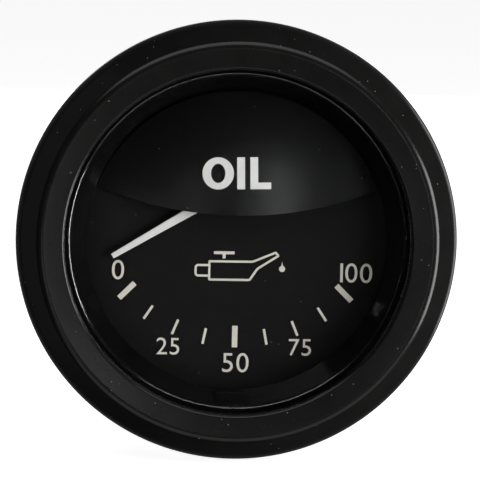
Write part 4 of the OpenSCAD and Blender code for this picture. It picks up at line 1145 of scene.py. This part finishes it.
# Lamp: a push-in bulb holder moulded in black plastic, with ribs for the fingers on its tail. A
# small glass bulb with a nickel-plated cap sits in its front, and a tinned blade at its back.
holder_flange_radius = (holder_high.x - holder_low.x) / 2
holder_tail_radius = 3.8 * mm
flange_end = case_rear + 1.2 * mm
tail_skin = 0.3 * mm
tail_foot = 0.1 * mm
wire_radius = 0.3 * mm
bulb_low, bulb_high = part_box("bulb_glass")
cap_low, cap_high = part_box("bulb_cap")
blade_low, blade_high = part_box("lamp_terminal")
cap_radius = (cap_high.x - cap_low.x) / 2
bulb_radius = (bulb_high.x - bulb_low.x) / 2
rib_count = 16
rib_depth = 0.22 * mm
tip_chamfer = 1.0 * mm
eye_radius = 0.9 * mm
eye_inset = 3.2 * mm
holder_plastic = finish("black_holder_plastic", 0.014, (0.024, 0.024, 0.023), (0.36, 0.5),
                        relief=0.005 * mm, dust=0.2)
holder = turned([
    (cap_radius + fit_gap, holder_low.y, 0),
    (holder_radius, holder_low.y, 0.3 * mm),
    (holder_radius, case_rear, 0),
    (holder_flange_radius, case_rear, 0.2 * mm),
    (holder_flange_radius, flange_end, 0.3 * mm),
    (holder_tail_radius, flange_end, 0.3 * mm),
    (holder_tail_radius, holder_high.y, 0.5 * mm),
    (wire_radius, holder_high.y, 0),
    (wire_radius, cap_high.y + 2 * fit_gap, 0),
    (cap_radius + fit_gap, cap_high.y + 2 * fit_gap, 0)], steps=rib_count * 8, facets=4)
for corner in holder.verts:
    reach = math.hypot(corner.co.x, corner.co.z)
    if -tail_skin < reach - holder_tail_radius < tail_foot and corner.co.y > flange_end:
        turn = math.atan2(corner.co.z, corner.co.x) * rib_count
        drawn_in(corner, reach - rib_depth * (0.5 - 0.5 * math.cos(turn)))
moved(holder, (0, 0, lamp_z))
piece("moulded_holder", holder, holder_plastic, "bulb_holder")
nickel = finish("nickel_plate", (0.56, 0.54, 0.50), (0.66, 0.64, 0.60), (0.14, 0.24), Metallic=1.0,
                relief=0.002 * mm, pitch=0.12 * mm, centre=(0, 0, lamp_z))
piece("nickel_cap", turned([
    (0, cap_low.y, 0),
    (cap_radius, cap_low.y, 0.25 * mm),
    (cap_radius, cap_high.y - 0.8 * mm, 0.3 * mm),
    (cap_radius - 1.2 * mm, cap_high.y, 0.4 * mm),
    (0, cap_high.y, 0)], steps=96, centre=(0, lamp_z)), nickel, "bulb_cap")
bulb_clear = finish("clear_bulb_glass", (0.94, 0.96, 0.96), (0.98, 0.99, 0.99), (0.0, 0.03),
                    size=0.5 * mm, relief=0.001 * mm, Transmission_Weight=1.0, IOR=1.5)
piece("blown_bulb", turned([
    (0, bulb_low.y, 0),
    (bulb_radius, bulb_low.y, bulb_radius * 0.98),
    (bulb_radius, bulb_high.y, 0.2 * mm),
    (0, bulb_high.y, 0)], steps=96, centre=(0, lamp_z), facets=16), bulb_clear, "bulb_glass")
tinned_brass = finish("tinned_brass", (0.52, 0.47, 0.34), (0.66, 0.60, 0.44), (0.24, 0.38), Metallic=1.0,
                      scratched=0.4, stretch=(1, 0.15, 1))
blade = square_block(blade_low, blade_high)
tip_corners = [e for e in edges_at(blade, lambda at: meet(at.y, blade_high.y))
               if meet(e.verts[0].co.x, e.verts[1].co.x)]
rounded(blade, tip_corners, tip_chamfer, 1)
eye = rod(eye_radius, -2 * mm, 2 * mm, steps=32)
swung(eye, 90)
moved(eye, (0, blade_high.y - eye_inset, lamp_z))
worked(blade, "DIFFERENCE", eye)
piece("terminal_blade", blade, tinned_brass, "lamp_terminal", edge=0.1 * mm)
